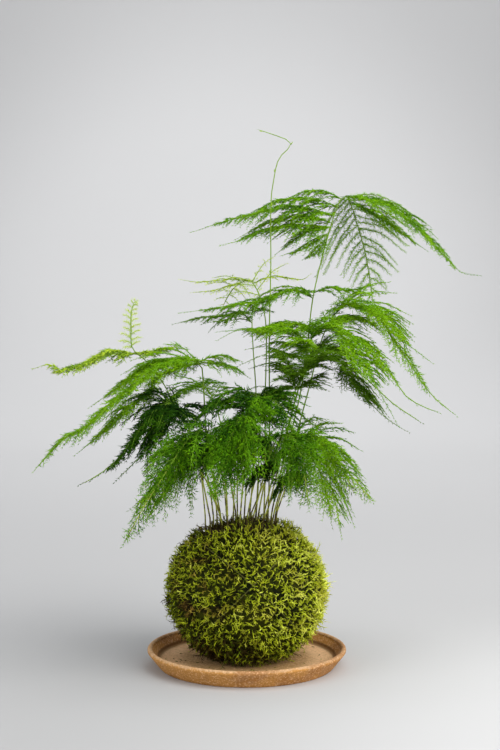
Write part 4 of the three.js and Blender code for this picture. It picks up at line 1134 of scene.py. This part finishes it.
def pack_soil():
    """A flattened sphere with crumbs: its radius shrinks by a rough pattern in two sizes."""
    polar = np.linspace(0, math.pi, SOIL_DOWN)[1:-1, None]
    directions = sphere_ways(polar, around(SOIL_AROUND))
    crumbs = patterns(directions, SOIL_PATTERN)
    depth = SOIL_SINK + SOIL_CRUMBS * (1 - crumbs)
    rings = SOIL_MIDDLE + SOIL_HALF * (directions * (1 - depth[..., None]))
    pole = np.array([0, 0, SOIL_HALF[2] * SOIL_POLE])
    corners, faces = skin(rings, SOIL_MIDDLE + pole, SOIL_MIDDLE - pole)
    # Painted shade: the soil is darker where its surface sinks deepest, between its crumbs
    tint = np.append(eased(crumbs.ravel(), -1, 1), [0.5, 0.5])
    return make_mesh("potting_soil", corners, faces, {"tint": tint})


def thread_normal(turn):
    """The upward normal of the plane of one turn of the thread."""
    level = math.sin(THREAD_TILT)
    return np.array([level * math.cos(turn), level * math.sin(turn), math.cos(THREAD_TILT)])


def furrow(directions):
    """How far the thread pulls the moss in: 1 under a turn of it, and 0 further off than the edge."""
    nearest = np.min([abs(directions @ thread_normal(turn)) for turn in THREAD_TURNS], axis=0)
    return 1 - eased(nearest * BALL_HALF[0], FURROW_FLAT, FURROW_EDGE)


def opening_rim():
    """The rim of the moss, an ellipse in plan, as azimuths round the upright axis and plan radii."""
    turn = around(MAT_AROUND)
    plan = OPENING_MIDDLE + OPENING_HALF * np.stack([np.cos(turn), np.sin(turn)], axis=1)
    return np.arctan2(plan[:, 1], plan[:, 0]), np.hypot(plan[:, 0], plan[:, 1])


def past_rim(places):
    """How far out places lie in plan as a multiple of the opening's rim."""
    return np.hypot(*((places[:, :2] - OPENING_MIDDLE) / OPENING_HALF).T)


def keep_above(places, height):
    """Lifts places that lie under a height on to it."""
    places[..., 2] = np.maximum(places[..., 2], height)


def bowl(half, middle, steps):
    """Rings on a flattened sphere from the rim of the moss down towards its lowest point, and their
    unit directions."""
    azimuth, plan = opening_rim()
    start = np.arcsin(plan / half[0])
    down = np.linspace(0, 1, steps + 1)[:-1, None]
    directions = sphere_ways(start + (math.pi - start) * down, azimuth)
    return middle + half * directions, directions


def roll_moss_mat():
    """A closed bowl under the strands. Its outside runs from the rim down to the lowest point of the
    ball, rough and pulled in under the thread, and its inside runs back up beside the soil."""
    inner_half = SOIL_HALF + SOIL_GAP
    outside, directions = bowl(BALL_HALF, BALL_MIDDLE, MAT_DOWN)
    sink = MAT_SINK + MAT_CREASE * furrow(directions) - MAT_ROUGH * patterns(outside, MAT_PATTERN)
    outside = outside - directions * sink[..., None]
    inside, _ = bowl(inner_half, SOIL_MIDDLE, MAT_BACK)
    rings = np.concatenate([inside[::-1], outside])
    keep_above(rings, SEAT)
    corners, faces = skin(rings, SOIL_MIDDLE - [0, 0, inner_half[2]], (0, 0, SEAT))
    return make_mesh("moss_mat", corners, faces, {"tint": np.full(len(corners), MAT_TINT)})


def spread_over_ball(count):
    """Unit directions that share a sphere evenly: equal steps in height, the golden angle between."""
    number = np.arange(count) + 0.5
    up = 1 - 2 * number / count
    turn = number * math.pi * (3 - math.sqrt(5))
    return round_axis(np.sqrt(1 - up**2), turn, up)


def curl_strands(roots, normals, lengths, draw):
    """Lines of four places. A strand leaves its root between upright and flat on the surface, and each
    third turns further round towards one side and back down on to the surface."""
    lean = np.radians(draw.uniform(*STRAND_LEAN, (len(roots), 1)))
    way = lean_off(normals, any_square(normals, draw), lean)
    bend = CURL_ASIDE * any_square(normals, draw) - CURL_DOWN * normals
    places = [roots]
    for third in range(3):
        way = unit(way + (CURL_FIRST + CURL_MORE * third) * bend)
        places.append(places[-1] + way * lengths[:, None] / 3)
    return np.stack(places, axis=1)


def add_prongs(pile, lines, lengths, radius, tints, draw):
    """Short pointed side branches: each leaves a strand part of the way along, and leans forward."""
    owners, numbers = spread_out(np.full(len(lines), PRONGS))
    shares = PRONGS_FROM + PRONGS_ALONG * (numbers + draw.random(len(owners))) / PRONGS
    start, way = along(lines, owners, shares)
    aside = any_square(way, draw)
    lean = np.radians(draw.uniform(*PRONG_LEAN, (len(owners), 1)))
    reach = lengths[owners, None] * draw.uniform(*PRONG_REACH, (len(owners), 1))
    ends = np.stack([start, start + reach * lean_off(way, aside, lean)], axis=1)
    keep_above(ends, SEAT)
    paler = tints[owners, None] - PRONG_DEEPER + PRONG_PALES * shares[:, None] + PRONG_TINTS
    pile.add_tubes(ends, radius * PRONG_SHAPE, way, THIN_SIDES, paler)


def add_strands(pile, roots, normals, lengths, settings, tints, draw):
    """Curled strands with their prongs, from roots on a surface with these normals."""
    lines = curl_strands(roots, normals, lengths, draw)
    keep_above(lines, SEAT + settings.strand_radius)
    radii = settings.strand_radius * STRAND_SHAPE
    pile.add_tubes(lines, radii, normals, THIN_SIDES, tints[:, None] + STRAND_TINTS)
    add_prongs(pile, lines, lengths, settings.strand_radius, tints, draw)


def moss_tint(places, directions, draw):
    """Tint of a strand: paler on the right and near the top of the shoulder as painted light, deeper
    and browner low on the left and beside the opening as painted shade, with its own small difference."""
    painted_light = directions @ unit(np.array(PAINTED_LIGHT_WAY))
    by_rim = (1 - eased(past_rim(places), *RIM_FADES)) * (places[:, 2] > BALL_MIDDLE[2])
    low = 1 - eased(places[:, 2], *LOW_FADES)
    shade = PAINTED_LIGHT_PALER * painted_light - RIM_PAINTED_SHADE * by_rim - LOW_PAINTED_SHADE * low + patterns(places, MOSS_CLUMPS)
    return MOSS_TINT + shade + draw.normal(0, STRAND_VARIES, len(places))


def strand_places(count, draw):
    """Where strands grow: evenly over the ball, none under the seat, and in the opening fewer, on the
    soil. Returns their places, the unit directions to them, and which are in the opening."""
    directions = unit(spread_over_ball(count) + draw.normal(0, STRAND_SCATTER, (count, 3)))
    surface = BALL_MIDDLE + BALL_HALF * directions
    rim, high = past_rim(surface), surface[:, 2] > BALL_MIDDLE[2]
    wanted = ((rim > OPENING_FROM) | (surface[:, 2] < BALL_MIDDLE[2])) & (surface[:, 2] > SEAT + SEAT_CLEAR)
    inside = ~wanted & high & (draw.random(len(rim)) < OPENING_SHARE)
    surface[inside] = SOIL_MIDDLE + [0, 0, OPENING_LIFT] + SOIL_HALF * directions[inside]
    wanted |= inside
    return surface[wanted], directions[wanted], inside[wanted]


def wrap_moss(settings):
    """The strands on the ball, above its middle and below it, in two meshes. Their roots lie a little
    under its surface, deeper and less deep by two rough patterns."""
    draw = np.random.default_rng(MOSS_SEED)
    surface, directions, inside = strand_places(settings.strands, draw)
    normals = unit(directions / BALL_HALF)
    roots = surface - normals * (STRAND_SINK - patterns(surface, STRAND_LUMPS))[:, None]
    stray = np.where(draw.random(len(roots)) < STRAY_SHARE, STRAY_LENGTH, 1)
    lengths = settings.strand_length * draw.uniform(*STRAND_LENGTHS, len(roots))
    lengths = lengths * np.where(inside, OPENING_LENGTH, stray)
    # Strands in the opening are darker as painted shade
    tints = moss_tint(surface, directions, draw) - OPENING_PAINTED_SHADE * inside
    meshes = []
    upper = surface[:, 2] > UPPER_FROM
    for name, chosen in (("moss_strands_upper", upper), ("moss_strands_lower", ~upper)):
        pile = Pile()
        add_strands(pile, roots[chosen], normals[chosen], lengths[chosen], settings, tints[chosen], draw)
        meshes.append(pile.mesh(name))
    return meshes


def strew_scraps(settings):
    """Loose bits of moss on the saucer's floor, in a ring between the ball and the wall."""
    draw = np.random.default_rng(SCRAP_SEED)
    turn = draw.uniform(0, TAU, SCRAPS)
    roots = round_axis(draw.uniform(*SCRAP_RING, SCRAPS), turn, SEAT + SCRAP_LIFT)
    lengths = settings.strand_length * draw.uniform(*SCRAP_LENGTHS, SCRAPS)
    up = np.tile(UP, (SCRAPS, 1))
    flat = any_square(up, draw)
    places = roots[:, None] + flat[:, None] * lengths[:, None, None] * np.linspace(0, 1, 4)[:, None]
    places[:, 1:3] += SCRAP_CURL * draw.normal(size=(SCRAPS, 2, 3)) * np.array([1, 1, 0])
    pile = Pile()
    radii = settings.strand_radius * SCRAP_THICK * SCRAP_SHAPE
    pile.add_tubes(places, radii, up, THIN_SIDES, draw.uniform(*SCRAP_TINTS, (SCRAPS, 1)))
    return pile.mesh("moss_scraps")


def wind_ply(normal, phase, radius):
    """Corners round one ply, steps x corners x 3. Its middle winds round a circle square to the
    normal, and all of it is flattened with the ball."""
    turn = around(THREAD_STEPS)
    first = unit(np.cross(normal, [0, 0, 1]))
    out = lean_off(first, np.cross(normal, first), turn[:, None])
    winding = lean_off(out, normal, THREAD_TWISTS * turn[:, None] + phase)
    middle = (BALL_HALF[0] - THREAD_DEPTH) * out + radius * PLY_APART * winding
    ring = lean_off(out[:, None], normal, around(PLY_SIDES)[:, None])
    return BALL_MIDDLE + (middle[:, None] + radius * ring) * (BALL_HALF / BALL_HALF[0])


def tie_thread(settings):
    """Two plies twisted round each other, along the circles that tilted planes cut from the ball."""
    plies = [
        wind_ply(thread_normal(lean), phase, settings.thread_radius)
        for lean in THREAD_TURNS for phase in (0, math.pi)
    ]
    step, side = np.arange(THREAD_STEPS)[:, None] * PLY_SIDES, np.arange(PLY_SIDES)
    next_step, next_side = np.roll(step, -1, axis=0), np.roll(side, -1)
    quads = np.stack([step + side, step + next_side, next_step + next_side, next_step + side], axis=-1)
    loop = THREAD_STEPS * PLY_SIDES
    faces = [quads.reshape(-1, 4) + number * loop for number in range(len(plies))]
    return make_mesh("thread_plies", np.concatenate(plies).reshape(-1, 3), [np.concatenate(faces)], {})


# Shoots


def branch_off(start, way, share, side, reach, spread, droop, draw):
    """Side shoots in turn on one hand and the other of a line, as lines of three points: each leans
    off by the spread, arches up at its middle and sags at its tip by its droop. They are longest near
    the line's foot and short at its tip."""
    count = len(share)
    aside = square_to(np.array(side, float), way) * by_turns(np.arange(count))
    outline = (1 - share) ** LENGTH_FALL * np.minimum(1, LENGTH_AT_FOOT + LENGTH_RISE * share)
    length = reach * outline * (1 + LENGTH_VARIES * (draw.random(count) - 0.5))
    degrees = spread * (1 - SPREAD_CLOSES * share) + SPREAD_VARIES * (draw.random(count) - 0.5)
    end = start + length[:, None] * lean_off(way, aside, np.radians(degrees)[:, None])
    end[:, 2] -= droop * length * (1 + DROOP_VARIES * (draw.random(count) - 0.5))
    middle = (start + end) / 2
    middle[:, 2] += ARCH * length
    return np.stack([start, middle, end], axis=1)


def stem_side_shoots(shoot, points, settings, draw):
    """Side shoots of a stem's leafy end, and the stem's way at each."""
    count = round(2 * shoot["pairs"] * settings.pairs_factor * shoot["fullness"])
    share = (np.arange(count) + 0.5) / count
    place = shoot["leaf_from"] + (1 - shoot["leaf_from"]) * share * PAIRS_END * shoot["crowded"]
    way = unit(spline(points, place + SLOPE_STEP) - spline(points, place - SLOPE_STEP))
    threes = branch_off(
        spline(points, place), way, share, shoot["side"], shoot["reach"] * MM, shoot["spread"],
        shoot["droop"] * shoot["sag"], draw,
    )
    return threes, way


def arm_side_shoots(line, length, level, shoot, settings, draw):
    """Side shoots of an arm, which lean off a line more level than the arm, and that line's way at
    each."""
    count = max(2, round(shoot["arm_fullness"] * length / settings.arm_spacing))
    share = (np.arange(count) + 0.5) / count
    start, way = along(line[None], np.zeros(count, int), share * ARM_PAIRS_END * shoot["crowded"])
    way = unit(way * [1, 1, 1 - ARM_LEVELS * shoot["level"]])
    reach = shoot["arm_reach"] * np.clip(settings.arm_reach * length, *ARM_REACHES)
    droop = ARM_DROOP * math.sqrt(shoot["sag"])
    return branch_off(start, way, share, level, reach, ARM_SPREAD, droop, draw), way


def arm_line(points, share, arm, side):
    """An arm's line from its root on the stem, its length, and a level way across it, or the stem's
    side where it runs upright."""
    root = spline(points, np.array([share]))
    curve = spline(np.concatenate([root, np.array(arm) * MM]), np.linspace(0, 1, ARM_CLOSE))
    line, length = even_places(curve)
    level = np.cross(UP, unit(line[-1] - line[0]))
    return line, length, level if np.linalg.norm(level) > LEVEL_LEAST else side


def spray_guides(threes, ways, level):
    """Guides that lie in the planes of the side shoots' twigs. They turn from the way of what each
    grows from, level 0, to the level line across the side shoot, level 1."""
    across = unit(np.cross(UP, threes[:, -1] - threes[:, 0]))
    across = across * np.where((across * ways).sum(-1, keepdims=True) < 0, -1, 1)
    return unit(level * across + (1 - level) * ways)


class Lines:
    """Lines that bear twigs, as lines x places x 3. Each has a guide that lies in the plane of its
    twigs, its size, below 1 on a laced one, the share of it that is crowded, and its length."""

    def __init__(self, places, guides, sizes, crowded):
        self.places, self.guides, self.sizes, self.crowded = places, guides, sizes, crowded
        self.lengths = np.linalg.norm(np.diff(places, axis=1), axis=2).sum(1)

    def laced(self, factor):
        """The factor for each laced line and 1 for the others."""
        return np.where(self.sizes < 1, factor, 1)


def leafy_lines(shoot, points, settings, draw):
    """Every line of a shoot that bears twigs: the leafy end of its stem, its arms, and the side
    shoots of both."""
    side = np.array(shoot["side"], float)
    leafy_end = np.linspace(shoot["leaf_from"], 1, LEAFY_CLOSE)
    mains, guides = [even_places(spline(points, leafy_end))[0]], [side]
    threes, ways = [], []
    for share, arm in shoot["arms"]:
        line, length, level = arm_line(points, share, arm, side)
        mains.append(line)
        guides.append(level)
        three, way = arm_side_shoots(line, length, level, shoot, settings, draw)
        threes.append(three)
        ways.append(way)
    of_stem, way = stem_side_shoots(shoot, points, settings, draw)
    threes, ways = np.concatenate([of_stem, *threes]), np.concatenate([way, *ways])
    level = np.full((len(threes), 1), float(shoot["level"]))
    level[:len(of_stem)] *= shoot["lace"] == 1
    places = np.concatenate([np.stack(mains), spline(threes, np.linspace(0, 1, LINE_STEPS))])
    guides = np.concatenate([unit(np.stack(guides)), spray_guides(threes, ways, level)])
    sizes, crowded = np.ones((2, len(places)))
    sizes[0] = shoot["lace"]
    sizes[len(mains):len(mains) + len(of_stem)] = shoot["lace"]
    crowded[:len(mains)] = shoot["crowded"]
    return Lines(places, guides, sizes, crowded)


def tail(share, crowded):
    """How much smaller twigs and needles are along a line: 1 up to the middle of its crowded part and
    less from there on, most of all on a line that trails."""
    thins = np.where(crowded < 1, TRAIL_THINS, TAIL_THINS)
    return 1 - thins * eased(share, TAIL_FROM * crowded, TAIL_TO * crowded)


def sprout_twigs(lines, room, settings, draw):
    """Twigs in turn on one hand and the other of each line, in the plane of its guide. A twig leans
    off and sags, and twigs grow shorter towards a line's tip. Room multiplies the lengths on each
    line. Returns the twigs, their lengths, the lines that own them, and the shares where they leave."""
    counts = np.maximum(2, (lines.lengths / settings.twig_spacing).astype(int))
    owners, numbers = spread_out(counts)
    share = (numbers + draw.uniform(*TWIG_PLACES, len(owners))) / counts[owners]
    widest = (room * np.clip(TWIG_SHARE * lines.lengths, TWIG_LEAST, settings.twig_length))[owners]
    reach = widest * np.minimum(1, TWIG_AT_FOOT + TWIG_RISE * share) * (1 - share) ** TWIG_FALL
    reach *= tail(share, lines.crowded[owners])
    reach *= draw.uniform(*TWIG_LENGTHS, len(owners))
    kept = reach > TWIG_DROPPED
    owners, numbers, share, reach = owners[kept], numbers[kept], share[kept], reach[kept, None]
    start, way = along(lines.places, owners, share)
    aside = square_to(lines.guides[owners], way) * by_turns(numbers)
    aside = lean_off(aside, np.cross(way, aside), np.radians(draw.normal(*TWIG_TILT, (len(owners), 1))))
    first = lean_off(way, aside, np.radians(draw.normal(*TWIG_LEAN, (len(owners), 1))))
    end = start + reach * unit(first + TWIG_FORWARD * way)
    end[:, 2] -= draw.uniform(*TWIG_SAG, len(owners)) * reach[:, 0]
    return np.stack([start, end], axis=1), reach[:, 0], owners, share


def cluster_places(lengths, spacing):
    """Evenly spaced places on lines of these lengths, the last at the tip: owners and shares."""
    counts = np.maximum(1, np.round(lengths / spacing).astype(int))
    owners, numbers = spread_out(counts)
    return owners, (numbers + 1) / counts[owners]


def add_clusters(pile, lines, guides, clusters, settings, draw):
    """Clusters of needles on lines: each needle leans off its line, its own way round but nearer to
    the plane of the line's guide, as a slim pointed tube. Clusters hold for each one its line, the
    share along it, and its needles' tint, size and radius."""
    owners, shares, tints, sizes, radii = (np.repeat(held, settings.cluster_size) for held in clusters)
    count = len(owners)
    start, way = along(lines, owners, shares)
    lean = np.radians(draw.uniform(*NEEDLE_LEAN, (count, 1)))
    reach = settings.needle_length * sizes[:, None] * draw.uniform(*NEEDLE_LENGTHS, (count, 1))
    across = square_to(guides[owners], way)
    turn = draw.uniform(0, TAU, (count, 1))
    aside = np.cos(turn) * across + NEEDLES_FLAT * np.sin(turn) * np.cross(way, across)
    end = start + reach * lean_off(way, aside, lean)
    tint = (tints + draw.normal(0, NEEDLE_VARIES, count))[:, None] + NEEDLE_TINTS
    thins = radii[:, None] * np.array([1, 0])
    pile.add_tubes(np.stack([start, end], axis=1), thins, way, THIN_SIDES, tint)


def add_side_stems(pile, lines):
    """A thin stem in every line but the first, which runs inside the stem itself."""
    picked = np.linspace(0, LINE_STEPS - 1, SIDE_STEPS).astype(int)
    radii = np.linspace(*SIDE_RADII, SIDE_STEPS) * lines.laced(LACE_STEM)[1:, None]
    places, guides = lines.places[1:, picked], lines.guides[1:]
    pile.add_tubes(places, radii, guides, SIDE_STEM_SIDES, SIDE_TINT, SIDE_WOOD)


def line_tints(lines, light, draw):
    """The tint of the leaves of each line, which differs by shoot and by line."""
    tints = LEAF_TINT + light + draw.normal(0, SHOOT_VARIES) + draw.normal(0, LINE_VARIES, len(lines.sizes))
    return tints + LACE_PALER * (lines.sizes < 1)


def add_leaves(pile, lines, own, shoot, settings, draw):
    """Twigs on every line, and clusters of needles on the twigs and then on the lines. Own is the tint
    of each line's leaves."""
    room = shoot["twigs"] * lines.laced(LACE_TWIGS)
    twigs, reach, owners, share = sprout_twigs(lines, room, settings, draw)
    younger = own[owners] + LINE_PALES * share + draw.normal(0, TWIG_VARIES, len(owners))
    radii = TWIG_RADIUS * shoot["bold"] * lines.sizes[owners, None] * np.array([1, 0])
    pile.add_tubes(twigs, radii, lines.guides[owners], THIN_SIDES, younger[:, None], TWIG_WOOD)
    needle = settings.needle_radius * shoot["bold"] * lines.laced(LACE_FINER)
    sizes = shoot["needles"] * lines.sizes
    held, at = cluster_places(reach, settings.cluster_spacing * sizes[owners])
    size = (sizes[owners] * tail(share, lines.crowded[owners]))[held]
    clusters = held, at, younger[held] + TWIG_PALES * at, size, needle[owners[held]] * size
    add_clusters(pile, twigs, lines.guides[owners], clusters, settings, draw)
    held, at = cluster_places(lines.lengths, settings.cluster_spacing * lines.laced(LACE_SPACING))
    size = sizes[held] * tail(at, lines.crowded[held])
    clusters = held, at, own[held] + LINE_PALES * at, size, needle[held] * size
    add_clusters(pile, lines.places, lines.guides, clusters, settings, draw)


def stem_line(points):
    """The stem's line, from its foot in the soil along its whole curve."""
    foot = points[0].copy()
    across = (foot[:2] / SOIL_HALF[:2]) @ (foot[:2] / SOIL_HALF[:2])
    foot[2] = SOIL_MIDDLE[2] + SOIL_HALF[2] * math.sqrt(1 - across) - STEM_BURIED
    line = np.concatenate([[foot], spline(points, np.linspace(0, 1, STEM_CLOSE))])
    steps = int(STEM_STEPS * np.linalg.norm(points[-1] - points[0]))
    return even_places(line, max(STEM_LEAST_STEPS, steps))[0]


def add_bracts(pile, line, radius, draw):
    """Small pointed scales of two steps that hug a bare stem of this radius, each on a side of its
    own. They lean out less at their tips."""
    shares = np.linspace(BRACT_FROM, BRACT_TO, BRACTS)
    start, way = along(line[None], np.zeros(BRACTS, int), shares)
    turned = any_square(way, draw)
    root = start + turned * radius * BRACT_SUNK
    middle = root + BRACT_STEPS[0] * unit(way + BRACT_LEANS[0] * turned)
    end = middle + BRACT_STEPS[1] * unit(way + BRACT_LEANS[1] * turned)
    places = np.stack([root, middle, end], axis=1)
    pile.add_tubes(places, BRACT_RADII, turned, BRACT_SIDES, SIDE_TINT, BRACT_WOOD)


def grow_shoot(shoot, number, settings):
    """One shoot in one mesh: its stem, with bracts where it is bare, or else with the lines that leave
    it, their twigs, and the needles."""
    draw = np.random.default_rng(SHOOT_SEED + number)
    pile = Pile()
    points = np.array(shoot["stem"], float) * MM
    stem = stem_line(points)
    thinning = np.linspace(settings.stem_radius, settings.tip_radius, len(stem))
    pile.add_tubes(stem[None], thinning, np.array([STEM_GUIDE]), STEM_SIDES, STEM_TINT, 1.0)
    if shoot["leaf_from"] == 1:
        add_bracts(pile, stem, settings.tip_radius, draw)
    else:
        lines = leafy_lines(shoot, points, settings, draw)
        add_side_stems(pile, lines)
        add_leaves(pile, lines, line_tints(lines, shoot["light"], draw), shoot, settings, draw)
    return pile.mesh(f"fine_{shoot['name']}")


# Stage


def hang_backdrop():
    """Floor and wall in one sheet: level to the back, then up along a quarter circle and on upright,
    and straight across."""
    turn = np.linspace(0, math.pi / 2, BOARD_STEPS)
    bend = np.stack([BOARD_BACK + BOARD_BEND * np.sin(turn), BOARD_BEND * (1 - np.cos(turn))], axis=1)
    profile = np.concatenate([[(BOARD_FRONT, 0)], bend, [(BOARD_BACK + BOARD_BEND, BOARD_TOP)]])
    across = np.array([-BOARD_SIDE, BOARD_SIDE])
    corners = np.stack([
        np.broadcast_to(across, (len(profile), 2)), np.repeat(profile[:, :1], 2, axis=1),
        np.repeat(profile[:, 1:], 2, axis=1),
    ], axis=-1).reshape(-1, 3)
    row = np.arange(len(profile) - 1) * 2
    quads = np.stack([row, row + 1, row + 3, row + 2], axis=-1)
    return make_mesh("backdrop", corners, [quads], {})


def add_light(name, place, target, size, colour, power):
    light = bpy.data.lights.new(name, "AREA")
    light.shape = "DISK"
    light.size = size
    light.energy = power
    light.color = colour
    holder = bpy.data.objects.new(name, light)
    bpy.context.scene.collection.objects.link(holder)
    holder.location = place
    way = Vector(target) - Vector(place)
    holder.rotation_euler = way.to_track_quat("-Z", "Y").to_euler()


def add_camera(scene, settings):
    camera = bpy.data.cameras.new("camera")
    camera.lens = settings.lens
    camera.sensor_width = SENSOR_WIDTH
    holder = bpy.data.objects.new("camera", camera)
    holder.location = (CAMERA_ASIDE, -settings.distance, settings.height)
    holder.rotation_euler = (math.pi / 2 - settings.pitch, 0, 0)
    scene.collection.objects.link(holder)
    scene.camera = holder


def set_stage(scene, settings):
    board = bpy.data.objects.new("backdrop", hang_backdrop())
    board.data.materials.append(board_finish(settings))
    scene.collection.objects.link(board)
    add_camera(scene, settings)
    for name, values in LIGHTS.items():
        add_light(name, *values, getattr(settings, f"{name}_power"))
    world = bpy.data.worlds.new("even_light")
    world.use_nodes = True
    even_light = world.node_tree.nodes["Background"].inputs
    even_light["Color"].default_value = SKY_COLOUR
    even_light["Strength"].default_value = settings.sky
    scene.world = world
    scene.view_settings.view_transform = "Standard"


# Operators, panel and registration


class MOSSBALL_OT_throw_saucer(bpy.types.Operator):
    """Make the clay saucer"""

    bl_idname = "mossball.throw_saucer"
    bl_label = "Throw saucer"

    def execute(self, context):
        settings = context.scene.mossball_saucer
        place_piece(throw_saucer(settings), clay_finish(settings), "clay", "saucer")
        return {"FINISHED"}


class MOSSBALL_OT_pack_soil(bpy.types.Operator):
    """Make the ball of soil inside the moss"""

    bl_idname = "mossball.pack_soil"
    bl_label = "Pack soil"

    def execute(self, context):
        place_piece(pack_soil(), soil_finish(context.scene.mossball_ball), "soil", "soil_core")
        return {"FINISHED"}


class MOSSBALL_OT_wrap_moss(bpy.types.Operator):
    """Make the moss: a mat, its strands, and loose scraps in the saucer"""

    bl_idname = "mossball.wrap_moss"
    bl_label = "Wrap moss"

    def execute(self, context):
        settings = context.scene.mossball_ball
        # The mat is painted shade: the moss colours made nearly black
        mat = moss_finish(settings, "moss_below", MAT_PAINTED_SHADE)
        strands = moss_finish(settings, "moss_strands", 1.0)
        place_piece(roll_moss_mat(), mat, "moss", "moss_cover")
        for mesh in (*wrap_moss(settings), strew_scraps(settings)):
            place_piece(mesh, strands, "moss")
        return {"FINISHED"}


class MOSSBALL_OT_tie_thread(bpy.types.Operator):
    """Make the thread that ties the moss on"""

    bl_idname = "mossball.tie_thread"
    bl_label = "Tie thread"

    def execute(self, context):
        settings = context.scene.mossball_ball
        place_piece(tie_thread(settings), thread_finish(settings), "thread", "binding_thread")
        return {"FINISHED"}


class MOSSBALL_OT_grow_shoots(bpy.types.Operator):
    """Make every shoot with its stem, twigs and needles"""

    bl_idname = "mossball.grow_shoots"
    bl_label = "Grow shoots"

    def execute(self, context):
        settings = context.scene.mossball_shoots
        # The dark finish is a shaded copy of the bright one: painted shade
        finishes = {shade: leaf_finish(settings, shade) for shade in ("bright", "dark", "young")}
        for number, shoot in enumerate(SHOOTS, 1):
            mesh = grow_shoot(shoot, number, settings)
            place_piece(mesh, finishes[shoot["colour"]], f"foliage_{shoot['colour']}", shoot["name"])
        return {"FINISHED"}


class MOSSBALL_OT_set_stage(bpy.types.Operator):
    """Make the backdrop, the lights and the camera"""

    bl_idname = "mossball.set_stage"
    bl_label = "Set stage"

    def execute(self, context):
        set_stage(context.scene, context.scene.mossball_stage)
        return {"FINISHED"}


OPERATORS = (
    MOSSBALL_OT_set_stage, MOSSBALL_OT_throw_saucer, MOSSBALL_OT_pack_soil, MOSSBALL_OT_wrap_moss,
    MOSSBALL_OT_tie_thread, MOSSBALL_OT_grow_shoots,
)
SETTINGS = {
    "mossball_saucer": SaucerSettings, "mossball_ball": BallSettings,
    "mossball_shoots": ShootSettings, "mossball_stage": StageSettings,
}


class MOSSBALL_PT_pieces(bpy.types.Panel):
    """Sizes, colours and pieces of the moss ball plant"""

    bl_idname = "MOSSBALL_PT_pieces"
    bl_label = "Moss ball plant"
    bl_space_type = "VIEW_3D"
    bl_region_type = "UI"
    bl_category = "Moss ball"

    def draw(self, context):
        for label, kind in SETTINGS.items():
            box = self.layout.box()
            for name in kind.__annotations__:
                box.prop(getattr(context.scene, label), name)
        for operator in OPERATORS:
            self.layout.operator(operator.bl_idname)


CLASSES = (*SETTINGS.values(), *OPERATORS, MOSSBALL_PT_pieces)


def register():
    for kind in CLASSES:
        bpy.utils.register_class(kind)
    for label, kind in SETTINGS.items():
        setattr(bpy.types.Scene, label, PointerProperty(type=kind))


def unregister():
    for label in SETTINGS:
        delattr(bpy.types.Scene, label)
    for kind in reversed(CLASSES):
        bpy.utils.unregister_class(kind)


def main():
    register()
    bpy.ops.mossball.set_stage()
    bpy.ops.mossball.throw_saucer()
    bpy.ops.mossball.pack_soil()
    bpy.ops.mossball.wrap_moss()
    bpy.ops.mossball.tie_thread()
    bpy.ops.mossball.grow_shoots()


if __name__ == "__main__":
    main()
